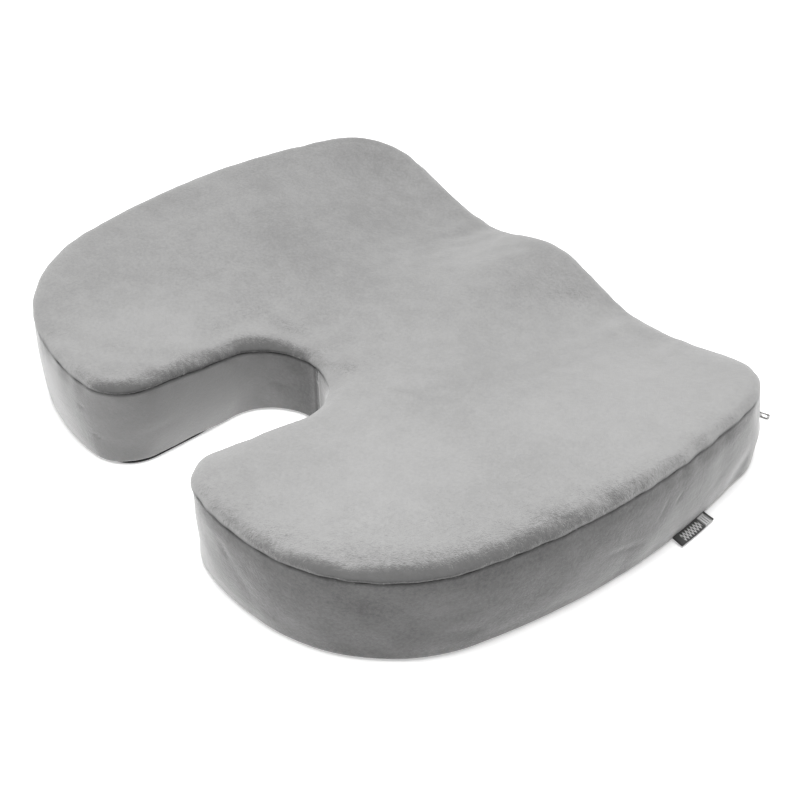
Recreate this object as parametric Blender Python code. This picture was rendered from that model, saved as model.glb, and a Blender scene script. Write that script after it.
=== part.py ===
"""Seat cushion with a U cut-out: a contoured foam block in a sewn velour cover with a front zip.

Units are metres. +X is the sitter's right, +Y is the front, +Z is up. The origin is the middle of
the underside. The cover's pieces lie in layers, each at its own inset from the cushion's outline,
and are carried round that outline. Positions along it are arc lengths that start at the end of
the slot and run round the right-hand lobe to the middle of the front.
"""
import math

import bpy
import bmesh
from mathutils import Vector
from mathutils.geometry import delaunay_2d_cdt

# Outline of the right-hand half: corner x, corner y, rounding radius.
FRONT_Y = 0.175
SLOT_END_Y = -0.0445
HALF_OUTLINE = [
    (0.0425, SLOT_END_Y, 0.0405),
    (0.0385, -0.1735, 0.0300),
    (0.0910, -0.1790, 0.1750),
    (0.1940, -0.1630, 0.1120),
    (0.2340, 0.0030, 0.4600),
    (0.2060, FRONT_Y, 0.0450),
]
CORNER_LEAN = 0.0050
CORNER_LEAN_REACH = 0.0600
LEAN_START_Z = 0.0240

# Heights of the top surface.
SIDE_HEIGHT = 0.068
DISH_DEPTH = 0.015
DISH_HALF_WIDTH = 0.200
DISH_FADE_START_Y = -0.040
DISH_FADE_END_Y = -0.190
DISH_LEFT_AT_BACK = 0.25
POMMEL_HEIGHT = 0.052
GROOVE_HEIGHT = 0.0345
GROOVE_X = 0.078
GROOVE_FLANK_END_X = 0.250
FRONT_BLEND_START_Y = -0.010
CROWN = 0.002
RIM = 0.005

# Layers, as insets from the outline.
COVER_THICKNESS = 0.0016
BASE_THICKNESS = 0.0012
SKIRT_OUT = 0.0028
SKIRT_IN = 0.0040
SKIRT_DROP = 0.0080
THREAD_OUT = 0.0043
THREAD_IN = 0.0049
THREAD_DROP = 0.0035
THREAD_SIZE = 0.0007
FOAM_INSET = 0.0054
CAP_INSET = 0.0120
GAP = 0.0003

# Zip in the front wall.
ZIP_Z = 0.0115
ZIP_OPENING = 0.0045
ZIP_PANEL_END = 0.1820
TAPE_END = 0.1790
TAPE_OUT = 0.0019
TAPE_IN = 0.0025
TAPE_TOP = 0.0105
TAPE_BOTTOM = 0.0090
COIL_CLOSED_END = 0.1752
COIL_OPEN_END = 0.1609
COIL_NEAR = 0.0006
COIL_FAR = 0.0026
STOP_LENGTH = 0.0020
SLIDER_X = 0.1700
SLIDER_LENGTH = 0.0095
SLIDER_NOSE_WIDTH = 0.0076
SLIDER_TAIL_WIDTH = 0.0056
SLIDER_PLATE = 0.0011
SLIDER_BACK_INSET = 0.0034
BAIL_HALF_LENGTH = 0.0034
BAIL_RISE = 0.0028
BAIL_THICKNESS = 0.0008
BAIL_WIDTH = 0.0016
PULL_LENGTH = 0.0240
PULL_WIDTH = 0.0052
PULL_THICKNESS = 0.0009
PULL_OUT = 0.0021
PULL_REST_TURN = math.radians(18)

# Woven label in the right-hand side's lower seam.
LABEL_Y = 0.074
LABEL_LENGTH = 0.032
LABEL_REACH = 0.0095
LABEL_LAYER = 0.0005
LABEL_Z = 0.0004

# Mesh density.
ARC_STEP = math.radians(14)
LONGEST_STEP = 0.017
GRID_STEP = 0.024

# What a section point's height is measured from.
FLOOR, SEAM, TOP = "floor", "seam", "top"

COLOURS = {
    "velour": ((0.36, 0.36, 0.36), 0.95, 0.0),
    "base_fabric": ((0.06, 0.06, 0.065), 0.85, 0.0),
    "foam": ((0.86, 0.84, 0.78), 0.90, 0.0),
    "thread": ((0.22, 0.22, 0.22), 0.70, 0.0),
    "zip_tape": ((0.16, 0.16, 0.165), 0.80, 0.0),
    "zip_coil": ((0.13, 0.13, 0.135), 0.45, 0.0),
    "zip_metal": ((0.72, 0.72, 0.72), 0.28, 1.0),
    "label": ((0.07, 0.07, 0.075), 0.75, 0.0),
}


def clear_scene():
    """Remove every object that the file opened with."""
    for obj in list(bpy.data.objects):
        bpy.data.objects.remove(obj, do_unlink=True)


def make_material(name, finish):
    """A Principled material of the piece's own colour, roughness and metallic value."""
    colour, roughness, metallic = COLOURS[finish]
    material = bpy.data.materials.new(name)
    material.use_nodes = True
    shader = material.node_tree.nodes["Principled BSDF"]
    shader.inputs["Base Color"].default_value = (*colour, 1.0)
    shader.inputs["Roughness"].default_value = roughness
    shader.inputs["Metallic"].default_value = metallic
    return material


def add_object(name, mesh_builder, finish, smooth_angle=40):
    """Turn a bmesh into a named object with its own material and outward faces."""
    bmesh.ops.recalc_face_normals(mesh_builder, faces=mesh_builder.faces)
    mesh = bpy.data.meshes.new(name)
    mesh_builder.to_mesh(mesh)
    mesh_builder.free()
    mesh.shade_smooth()
    mesh.set_sharp_from_angle(angle=math.radians(smooth_angle))
    mesh.materials.append(make_material(name, finish))
    obj = bpy.data.objects.new(name, mesh)
    bpy.context.scene.collection.objects.link(obj)
    return obj


def ease(value, start, end):
    """Rise smoothly from 0 at start to 1 at end."""
    share = min(max((value - start) / (end - start), 0.0), 1.0)
    return 0.5 - 0.5 * math.cos(math.pi * share)


def seat_height(x, y):
    """Top surface behind the thigh grooves: full height at the sides, dished in the middle."""
    fade = ease(y, DISH_FADE_START_Y, DISH_FADE_END_Y)
    depth = DISH_DEPTH * (1.0 - (1.0 - DISH_LEFT_AT_BACK) * fade)
    return SIDE_HEIGHT - depth * (1.0 - ease(abs(x), 0.0, DISH_HALF_WIDTH))


def front_height(x):
    """Top edge of the front wall: a raised middle between two thigh grooves."""
    if abs(x) < GROOVE_X:
        return POMMEL_HEIGHT - (POMMEL_HEIGHT - GROOVE_HEIGHT) * ease(abs(x), 0.0, GROOVE_X)
    rise = ease(abs(x), GROOVE_X, GROOVE_FLANK_END_X)
    return GROOVE_HEIGHT + (SIDE_HEIGHT - GROOVE_HEIGHT) * rise


def top_height(x, y):
    """Height of the cover's rim at a place, before the crown."""
    share = ease(y, FRONT_BLEND_START_Y, FRONT_Y)
    return seat_height(x, y) * (1.0 - share) + front_height(x) * share


class Outline:
    """The cushion's outline as straight runs and arcs, read by arc length from the slot's end."""

    def __init__(self):
        corners = [Vector((x, y)) for x, y, _ in HALF_OUTLINE]
        radii = [radius for _, _, radius in HALF_OUTLINE]
        stops = [Vector((0.0, SLOT_END_Y))] + corners + [Vector((0.0, FRONT_Y))]
        self.pieces = []
        self.length = 0.0
        here = stops[0]
        for before, corner, after, radius in zip(stops, corners, stops[2:], radii):
            into = (corner - before).normalized()
            out = (after - corner).normalized()
            turn = into.angle_signed(out) * -1.0
            reach = radius * math.tan(abs(turn) / 2)
            self._add_line(here, corner - into * reach)
            self._add_arc(corner - into * reach, into, radius, turn)
            here = corner + out * reach
        self._add_line(here, stops[-1])

    def _add_line(self, start, end):
        size = (end - start).length
        if size > 1e-6:
            self.pieces.append((self.length, size, start, (end - start).normalized(), 0.0))
            self.length += size

    def _add_arc(self, start, heading, radius, turn):
        size = radius * abs(turn)
        self.pieces.append((self.length, size, start, heading, math.copysign(1.0 / radius, turn)))
        self.length += size

    def at(self, distance):
        """Point and outward normal at an arc length; the left-hand half mirrors the right."""
        if distance < 0.0:
            return self._mirrored(-distance)
        if distance > self.length:
            return self._mirrored(2.0 * self.length - distance)
        piece = next(p for p in reversed(self.pieces) if distance >= p[0] - 1e-9)
        begin, _, start, heading, curvature = piece
        along = distance - begin
        side = Vector((-heading.y, heading.x))
        if curvature == 0.0:
            point = start + heading * along
            tangent = heading
        else:
            angle = along * curvature
            point = start + (heading * math.sin(angle) + side * (1.0 - math.cos(angle))) / curvature
            tangent = heading * math.cos(angle) + side * math.sin(angle)
        return point, Vector((tangent.y, -tangent.x))

    def _mirrored(self, distance):
        point, normal = self.at(distance)
        return Vector((-point.x, point.y)), Vector((-normal.x, normal.y))

    def natural_stops(self):
        """Arc lengths that follow the shape: even steps on each run, finer on tight arcs."""
        distances = []
        for begin, size, _, _, curvature in self.pieces:
            step = LONGEST_STEP
            if curvature != 0.0:
                step = min(step, ARC_STEP / abs(curvature))
            count = max(1, math.ceil(size / step))
            distances += [begin + size * k / count for k in range(count)]
        return distances + [self.length]


OUTLINE = Outline()
HALF_STOPS = OUTLINE.natural_stops()
FRONT_CORNER_ARC = OUTLINE.length - OUTLINE.pieces[-2][0] - OUTLINE.pieces[-2][1] / 2
RING_STOPS = HALF_STOPS + [2.0 * OUTLINE.length - d for d in reversed(HALF_STOPS[1:-1])]


def front_stop(x):
    """Arc length of a place on the front wall, by its distance from the middle (+ is right)."""
    return OUTLINE.length - x


def corner_lean(distance):
    """How far the wall's top leans in at the front corners, whose foot is squarer."""
    from_front = abs(OUTLINE.length - abs(distance))
    off_middle = abs(from_front - FRONT_CORNER_ARC)
    return CORNER_LEAN * (1.0 - ease(off_middle, 0.0, CORNER_LEAN_REACH))


def section_point(distance, inset, anchor, offset):
    """Place one point of a section at an arc length."""
    point, normal = OUTLINE.at(distance)
    if anchor == FLOOR:
        return Vector((*(point - normal * inset), offset))
    edge = point - normal * corner_lean(distance)
    x, y = edge - normal * inset
    if anchor == SEAM:
        return Vector((x, y, top_height(*edge) - RIM + offset))
    return Vector((x, y, top_height(x, y) + offset))


def skin_loops(builder, loops, closed_rings):
    """Join neighbouring loops of vertices with quads."""
    for first, second in zip(loops, loops[1:]):
        count = len(first)
        for k in range(count if closed_rings else count - 1):
            after = (k + 1) % count
            builder.faces.new((first[k], first[after], second[after], second[k]))


def make_cap():
    """Triangulate the area inside the cap ring once; every sheet body uses the same layout."""
    ring = [section_point(d, CAP_INSET, FLOOR, 0.0).xy for d in RING_STOPS]
    reach_x = max(p.x for p in ring)
    reach_y = max(abs(p.y) for p in ring)
    edges = [(k, (k + 1) % len(ring)) for k in range(len(ring))]
    inner = []
    columns = int(reach_x / GRID_STEP) + 1
    rows = int(reach_y / GRID_STEP) + 1
    for column in range(-columns, columns + 1):
        for row in range(-rows, rows + 1):
            place = Vector((column * GRID_STEP, row * GRID_STEP))
            if is_well_inside(place, ring):
                inner.append(place)
    result = delaunay_2d_cdt(ring + inner, edges, [], 1, 1e-6)
    back = [origins[0] for origins in result[3]]
    triangles = [tuple(back[i] for i in face) for face in result[2]]
    return inner, triangles


def is_well_inside(place, ring):
    """True for a place inside the ring and at least half a grid step from it."""
    crossings = 0
    for start, end in zip(ring, ring[1:] + ring[:1]):
        if (start.y > place.y) != (end.y > place.y):
            share = (place.y - start.y) / (end.y - start.y)
            if place.x < start.x + (end.x - start.x) * share:
                crossings += 1
        if (start - place).length < GRID_STEP * 0.5:
            return False
    return crossings % 2 == 1


CAP_INNER, CAP_TRIANGLES = make_cap()


def sheet_body(name, section, first_cap, last_cap, finish):
    """A body that spans the whole outline.

    The section runs from one cap's ring to the other's. Each cap is (anchor, offset): the height
    of the points inside it.
    """
    builder = bmesh.new()
    loops = []
    for inset, anchor, offset in section:
        loops.append([builder.verts.new(section_point(d, inset, anchor, offset))
                      for d in RING_STOPS])
    skin_loops(builder, loops, True)
    for ring, (anchor, offset) in ((loops[0], first_cap), (loops[-1], last_cap)):
        verts = list(ring)
        for place in CAP_INNER:
            z = offset if anchor == FLOOR else top_height(*place) + offset
            verts.append(builder.verts.new((place.x, place.y, z)))
        for triangle in CAP_TRIANGLES:
            builder.faces.new([verts[i] for i in triangle])
    return add_object(name, builder, finish)


def ring_body(name, section, finish):
    """Carry a closed section right round the outline."""
    builder = bmesh.new()
    loops = []
    for inset, anchor, offset in section:
        loops.append([builder.verts.new(section_point(d, inset, anchor, offset))
                      for d in RING_STOPS])
    skin_loops(builder, loops + loops[:1], True)
    return add_object(name, builder, finish)


def band_body(name, section, start, end, finish):
    """Carry a closed section along part of the outline and close both ends."""
    whole = [-d for d in reversed(HALF_STOPS[1:])] + HALF_STOPS
    whole += [2.0 * OUTLINE.length - d for d in reversed(HALF_STOPS[:-1])]
    inside = [d for d in whole if start + GAP < d < end - GAP]
    stops = [start] + inside + [end]
    builder = bmesh.new()
    loops = []
    for inset, anchor, offset in section:
        loops.append([builder.verts.new(section_point(d, inset, anchor, offset)) for d in stops])
    skin_loops(builder, loops + loops[:1], False)
    builder.faces.new([loop[0] for loop in loops])
    builder.faces.new([loop[-1] for loop in reversed(loops)])
    return add_object(name, builder, finish)


def wall_section(low):
    """A side wall from a height up to the seam, upright to where the front corners lean in."""
    return [(0.0, FLOOR, low), (0.0, FLOOR, LEAN_START_Z), (0.0, SEAM, 0.0),
            (COVER_THICKNESS, SEAM, 0.0), (COVER_THICKNESS, FLOOR, LEAN_START_Z),
            (COVER_THICKNESS, FLOOR, low)]


def box_section(outer, inner, anchor_low, low, anchor_high, high):
    """A rectangular section between two insets and two heights."""
    return [(outer, anchor_low, low), (outer, anchor_high, high),
            (inner, anchor_high, high), (inner, anchor_low, low)]


def make_foam():
    """The contoured foam block, a little smaller than the cover all round."""
    under = BASE_THICKNESS + GAP
    lid = COVER_THICKNESS + GAP
    section = [
        (CAP_INSET, FLOOR, under),
        (FOAM_INSET + RIM * 0.6, FLOOR, under),
        (FOAM_INSET, FLOOR, under + RIM * 0.6),
        (FOAM_INSET, SEAM, -RIM * 0.4),
        (FOAM_INSET + RIM * 0.4, SEAM, RIM * 0.24),
        (CAP_INSET, TOP, CROWN / 2 - lid),
    ]
    sheet_body("foam_core", section, (FLOOR, under), (TOP, CROWN - lid), "foam")


def make_top_panel():
    """The cover's top, rounded over the rim, with its seam allowance hanging inside the walls."""
    section = [
        (CAP_INSET, TOP, CROWN / 2 - COVER_THICKNESS),
        (SKIRT_IN + RIM * 0.24, SEAM, RIM * 0.5),
        (SKIRT_IN, SEAM, RIM * 0.3),
        (SKIRT_IN, SEAM, -SKIRT_DROP),
        (SKIRT_OUT, SEAM, -SKIRT_DROP),
        (SKIRT_OUT, SEAM, GAP),
        (0.0, SEAM, GAP),
        (RIM * 0.16, SEAM, RIM * 0.56),
        (RIM * 0.52, SEAM, RIM * 0.86),
        (RIM * 1.1, SEAM, RIM),
        (CAP_INSET, TOP, CROWN / 2),
    ]
    inner_cap = (TOP, CROWN - COVER_THICKNESS)
    sheet_body("cover_top_panel", section, inner_cap, (TOP, CROWN), "velour")


def make_base_panel():
    """The flat underside, sewn to the walls at its edge."""
    section = [
        (CAP_INSET, FLOOR, 0.0),
        (BASE_THICKNESS / 2, FLOOR, 0.0),
        (0.0, FLOOR, BASE_THICKNESS / 2),
        (0.0, FLOOR, BASE_THICKNESS),
        (CAP_INSET, FLOOR, BASE_THICKNESS),
    ]
    sheet_body("base_panel", section, (FLOOR, 0.0), (FLOOR, BASE_THICKNESS), "base_fabric")


def make_walls():
    """Two side strips from the slot's end to the zip panel, and the zip panel's two strips."""
    foot = BASE_THICKNESS + GAP
    wall = wall_section(foot)
    end = front_stop(ZIP_PANEL_END)
    band_body("boxing_right", wall, GAP / 2, end - GAP / 2, "velour")
    band_body("boxing_left", wall, GAP / 2 - end, -GAP / 2, "velour")
    start, finish = end + GAP / 2, 2.0 * OUTLINE.length - end - GAP / 2
    upper = wall_section(ZIP_Z + ZIP_OPENING)
    lower = box_section(0.0, COVER_THICKNESS, FLOOR, foot, FLOOR, ZIP_Z - ZIP_OPENING)
    band_body("boxing_front_upper", upper, start, finish, "velour")
    band_body("boxing_front_lower", lower, start, finish, "velour")


def make_seam_threads():
    """Threads of the two long seams and of the three upright seams, on their inner side."""
    top = box_section(THREAD_OUT, THREAD_IN, SEAM, -THREAD_DROP, SEAM, THREAD_SIZE - THREAD_DROP)
    ring_body("top_seam_thread", top, "thread")
    inner = COVER_THICKNESS + GAP
    foot = BASE_THICKNESS + GAP
    base = box_section(inner, inner + THREAD_SIZE, FLOOR, foot, FLOOR, foot + THREAD_SIZE)
    ring_body("base_seam_thread", base, "thread")
    low = foot + THREAD_SIZE + GAP
    upright = box_section(inner, inner + THREAD_SIZE, FLOOR, low, SEAM, -GAP)
    right = front_stop(ZIP_PANEL_END)
    places = {
        "slot_seam_thread": 0.0,
        "front_right_seam_thread": right,
        "front_left_seam_thread": 2.0 * OUTLINE.length - right,
    }
    for name, middle in places.items():
        band_body(name, upright, middle - THREAD_SIZE / 2, middle + THREAD_SIZE / 2, "thread")


def make_zip_rows():
    """Tapes, tooth rows, stops and the threads that sew the tapes in."""
    tape_start, tape_finish = front_stop(TAPE_END), front_stop(-TAPE_END)
    coil_start, coil_finish = front_stop(COIL_CLOSED_END), front_stop(-COIL_OPEN_END)
    for side, sign, tape_far in (("upper", 1, TAPE_TOP), ("lower", -1, TAPE_BOTTOM)):
        near, far = ZIP_Z + sign * (COIL_NEAR + GAP / 3), ZIP_Z + sign * tape_far
        tape = box_section(TAPE_OUT, TAPE_IN, FLOOR, near, FLOOR, far)
        band_body("zip_tape_" + side, tape, tape_start, tape_finish, "zip_tape")
        near, far = ZIP_Z + sign * COIL_NEAR, ZIP_Z + sign * COIL_FAR
        teeth = box_section(GAP, COVER_THICKNESS, FLOOR, near, FLOOR, far)
        band_body("zip_coil_" + side, teeth, coil_start, coil_finish, "zip_coil")
        stop_end = coil_start - GAP
        band_body("zip_closed_stop_" + side, teeth, stop_end - STOP_LENGTH, stop_end, "zip_metal")
        low = ZIP_Z + sign * (ZIP_OPENING + 2.0 * COVER_THICKNESS / 3)
        stitch = box_section(-GAP - THREAD_SIZE / 2, -GAP, FLOOR, low, FLOOR, low + sign * THREAD_SIZE)
        band_body("zip_thread_" + side, stitch, tape_start, tape_finish, "thread")
    bridge = box_section(GAP, COVER_THICKNESS, FLOOR, ZIP_Z - COIL_FAR, FLOOR, ZIP_Z + COIL_FAR)
    start = coil_finish + GAP
    band_body("zip_open_stop", bridge, start, start + STOP_LENGTH, "zip_metal")


def prism(name, points, plane, low, high, finish="zip_metal"):
    """Extrude a polygon. Its points lie in the x-y or the x-z plane, relative to the origin."""
    builder = bmesh.new()
    loops = []
    for level in (low, high):
        if plane == "xy":
            loops.append([builder.verts.new((a, b, level)) for a, b in points])
        else:
            loops.append([builder.verts.new((a, level, b)) for a, b in points])
    skin_loops(builder, loops, True)
    builder.faces.new(list(reversed(loops[0])))
    builder.faces.new(loops[1])
    return add_object(name, builder, finish)


def combine(target, others, operation):
    """Join or cut a body by others, which are then hidden."""
    for other in others:
        other.hide_render = True
        other.display_type = "WIRE"
        other.parent = target
        step = target.modifiers.new(other.name, "BOOLEAN")
        step.operation = operation
        step.solver = "EXACT"
        step.object = other


def rounded_strip(start, end, half_width, steps=6):
    """Outline of a strip along +X with a half-round far end."""
    points = [(start, -half_width)]
    centre = end - half_width
    for k in range(steps + 1):
        angle = -math.pi / 2 + math.pi * k / steps
        points.append((centre + half_width * math.cos(angle), half_width * math.sin(angle)))
    return points + [(start, half_width)]


def make_slider():
    """Slider: an outer and an inner plate joined by a thin post, and the bail over the pull."""
    half = SLIDER_LENGTH / 2
    nose, tail = SLIDER_NOSE_WIDTH / 2, SLIDER_TAIL_WIDTH / 2
    plate = [(-half, -tail), (half * 0.2, -nose), (half, -nose * 0.8),
             (half, nose * 0.8), (half * 0.2, nose), (-half, tail)]
    outer = prism("zip_slider_body", plate, "xz", 0.0, SLIDER_PLATE)
    back = -SLIDER_BACK_INSET
    inner = prism("slider_inner_plate", plate, "xz", back - SLIDER_PLATE * 0.75, back)
    post_half = COIL_NEAR / 2
    post = [(half * 0.2, -post_half), (half * 0.9, -post_half),
            (half * 0.9, post_half), (half * 0.2, post_half)]
    spine = prism("slider_post", post, "xz", back - SLIDER_PLATE / 4, SLIDER_PLATE / 2)
    foot = SLIDER_PLATE / 2
    crest = SLIDER_PLATE + BAIL_RISE
    reach, wall = BAIL_HALF_LENGTH, BAIL_THICKNESS
    arch = [(-reach, foot), (-reach, crest - wall), (-reach + wall, crest), (reach - wall, crest),
            (reach, crest - wall), (reach, foot), (reach - wall, foot),
            (reach - wall, crest - wall), (-reach + wall, crest - wall), (-reach + wall, foot)]
    bail = prism("slider_bail", arch, "xy", -BAIL_WIDTH / 2, BAIL_WIDTH / 2)
    combine(outer, [inner, spine, bail], "UNION")
    outer.location = (SLIDER_X, FRONT_Y, ZIP_Z)


def make_pull():
    """Pull tab: a flat strip that turns on the bar beneath the bail and rests a little off the wall."""
    half = PULL_THICKNESS / 2
    strip = rounded_strip(-half, PULL_LENGTH, PULL_WIDTH / 2)
    tab = prism("zip_pull_tab", strip, "xz", -half, half)
    bail_room = BAIL_WIDTH / 2 + 2.0 * GAP
    window_end = BAIL_HALF_LENGTH + 3.0 * GAP
    window = [(half, -bail_room), (window_end, -bail_room), (window_end, bail_room), (half, bail_room)]
    window_cut = prism("pull_window_cutter", window, "xz", -2 * half, 2 * half)
    slot_half = PULL_WIDTH * 0.2
    slot = rounded_strip(PULL_LENGTH * 0.68, PULL_LENGTH * 0.93, slot_half)
    slot_cut = prism("pull_slot_cutter", slot, "xz", -2 * half, 2 * half)
    combine(tab, [window_cut, slot_cut], "DIFFERENCE")
    tab.location = (SLIDER_X, FRONT_Y + PULL_OUT, ZIP_Z)
    tab.rotation_euler = (0.0, 0.0, PULL_REST_TURN)


def make_label():
    """Folded woven label: two leaves and the fold that joins them at the outer edge."""
    leaf = LABEL_LAYER
    low, high = LABEL_Z, LABEL_Z + 2.0 * leaf + GAP
    reach = -(GAP + LABEL_REACH)
    section = [
        (-GAP, FLOOR, low), (reach + leaf, FLOOR, low), (reach, FLOOR, low + leaf),
        (reach, FLOOR, high - leaf), (reach + leaf, FLOOR, high), (-GAP, FLOOR, high),
        (-GAP, FLOOR, high - leaf), (reach + 2.0 * leaf, FLOOR, high - leaf),
        (reach + 2.0 * leaf, FLOOR, low + leaf), (-GAP, FLOOR, low + leaf),
    ]
    on_side = [d for d in HALF_STOPS if OUTLINE.at(d)[0].x > GROOVE_FLANK_END_X * 0.8]
    nearest = min(on_side, key=lambda d: abs(OUTLINE.at(d)[0].y - LABEL_Y))
    middle = nearest + LABEL_Y - OUTLINE.at(nearest)[0].y
    band_body("side_label", section, middle - LABEL_LENGTH / 2, middle + LABEL_LENGTH / 2, "label")


def main():
    """Build every piece."""
    clear_scene()
    make_foam()
    make_top_panel()
    make_base_panel()
    make_walls()
    make_seam_threads()
    make_zip_rows()
    make_slider()
    make_pull()
    make_label()


main()
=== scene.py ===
"""Looks of the U-shaped seat cushion: a sewn velour cover with a front zip over contoured foam.

Units are metres. +X is the sitter's right, +Y is the front, +Z is up. Places along the cushion's
outline are arc lengths that start at the end of the slot and run round the right-hand lobe, over
the front and back along the left-hand lobe. An inset is measured inwards from that outline.
"""

import logging
import math
from dataclasses import dataclass
from enum import Enum

import bpy
import numpy as np
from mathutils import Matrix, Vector
from mathutils.geometry import delaunay_2d_cdt
from mathutils.kdtree import KDTree


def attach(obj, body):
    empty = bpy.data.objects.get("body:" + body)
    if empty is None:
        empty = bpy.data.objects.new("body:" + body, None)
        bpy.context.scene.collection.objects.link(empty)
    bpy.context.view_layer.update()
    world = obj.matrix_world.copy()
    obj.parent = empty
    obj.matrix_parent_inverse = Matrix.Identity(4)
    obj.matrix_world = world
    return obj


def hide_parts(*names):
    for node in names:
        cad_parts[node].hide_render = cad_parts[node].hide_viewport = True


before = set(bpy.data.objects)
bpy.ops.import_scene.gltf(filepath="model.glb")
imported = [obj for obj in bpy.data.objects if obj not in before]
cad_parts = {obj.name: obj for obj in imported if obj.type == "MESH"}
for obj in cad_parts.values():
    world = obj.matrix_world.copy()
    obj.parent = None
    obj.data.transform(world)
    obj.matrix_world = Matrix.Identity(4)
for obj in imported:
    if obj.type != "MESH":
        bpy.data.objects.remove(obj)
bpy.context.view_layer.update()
LOG = logging.getLogger("cushion")
BODY = "cushion"
MM = 0.001
TRIANGLE_ROW = 0.866

Socket = bpy.types.NodeSocket
Colour = tuple[float, float, float]


class Slot(Enum):
    """The record's material slots."""

    VELOUR = "velour"
    BASE = "base_fabric"
    FOAM = "foam"
    THREAD = "thread"
    TAPE = "zip_tape"
    COIL = "zip_coil"
    METAL = "zip_metal"
    LABEL = "label"


def ease(value: np.ndarray, start: float, end: float) -> np.ndarray:
    """Rise smoothly from 0 at start to 1 at end.

    Args:
        value: where to read the rise.
        start: last value that gives 0.
        end: first value that gives 1.

    Returns:
        The share of the rise at each value.
    """
    share = np.clip((np.asarray(value, float) - start) / (end - start), 0.0, 1.0)
    return 0.5 - 0.5 * np.cos(np.pi * share)


def unit(vectors: np.ndarray) -> np.ndarray:
    """Vectors of length one along the last axis."""
    return vectors / np.maximum(np.linalg.norm(vectors, axis=-1, keepdims=True), 1e-12)


@dataclass
class Waves:
    """A smooth random surface made of a few sine waves in random directions.

    Args:
        seed: fixes the random draw.
        size: usual length of a wave.
        spread: shortest and longest wave as shares of that length.
        count: number of waves.
    """

    seed: int
    size: float
    spread: tuple[float, float] = (0.6, 1.7)
    count: int = 14

    def at(self, points: np.ndarray) -> np.ndarray:
        """Read the surface.

        Args:
            points: places, one row each.

        Returns:
            A height between about -1 and 1 at each place.
        """
        draw = np.random.default_rng(self.seed)
        total = np.zeros(len(points))
        for _ in range(self.count):
            heading = unit(draw.normal(size=points.shape[1]))
            length = self.size * draw.uniform(*self.spread)
            total += np.sin(points @ heading * (2.0 * np.pi / length) + draw.uniform(0.0, 6.28))
        return total / math.sqrt(self.count * 2.0)


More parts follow.
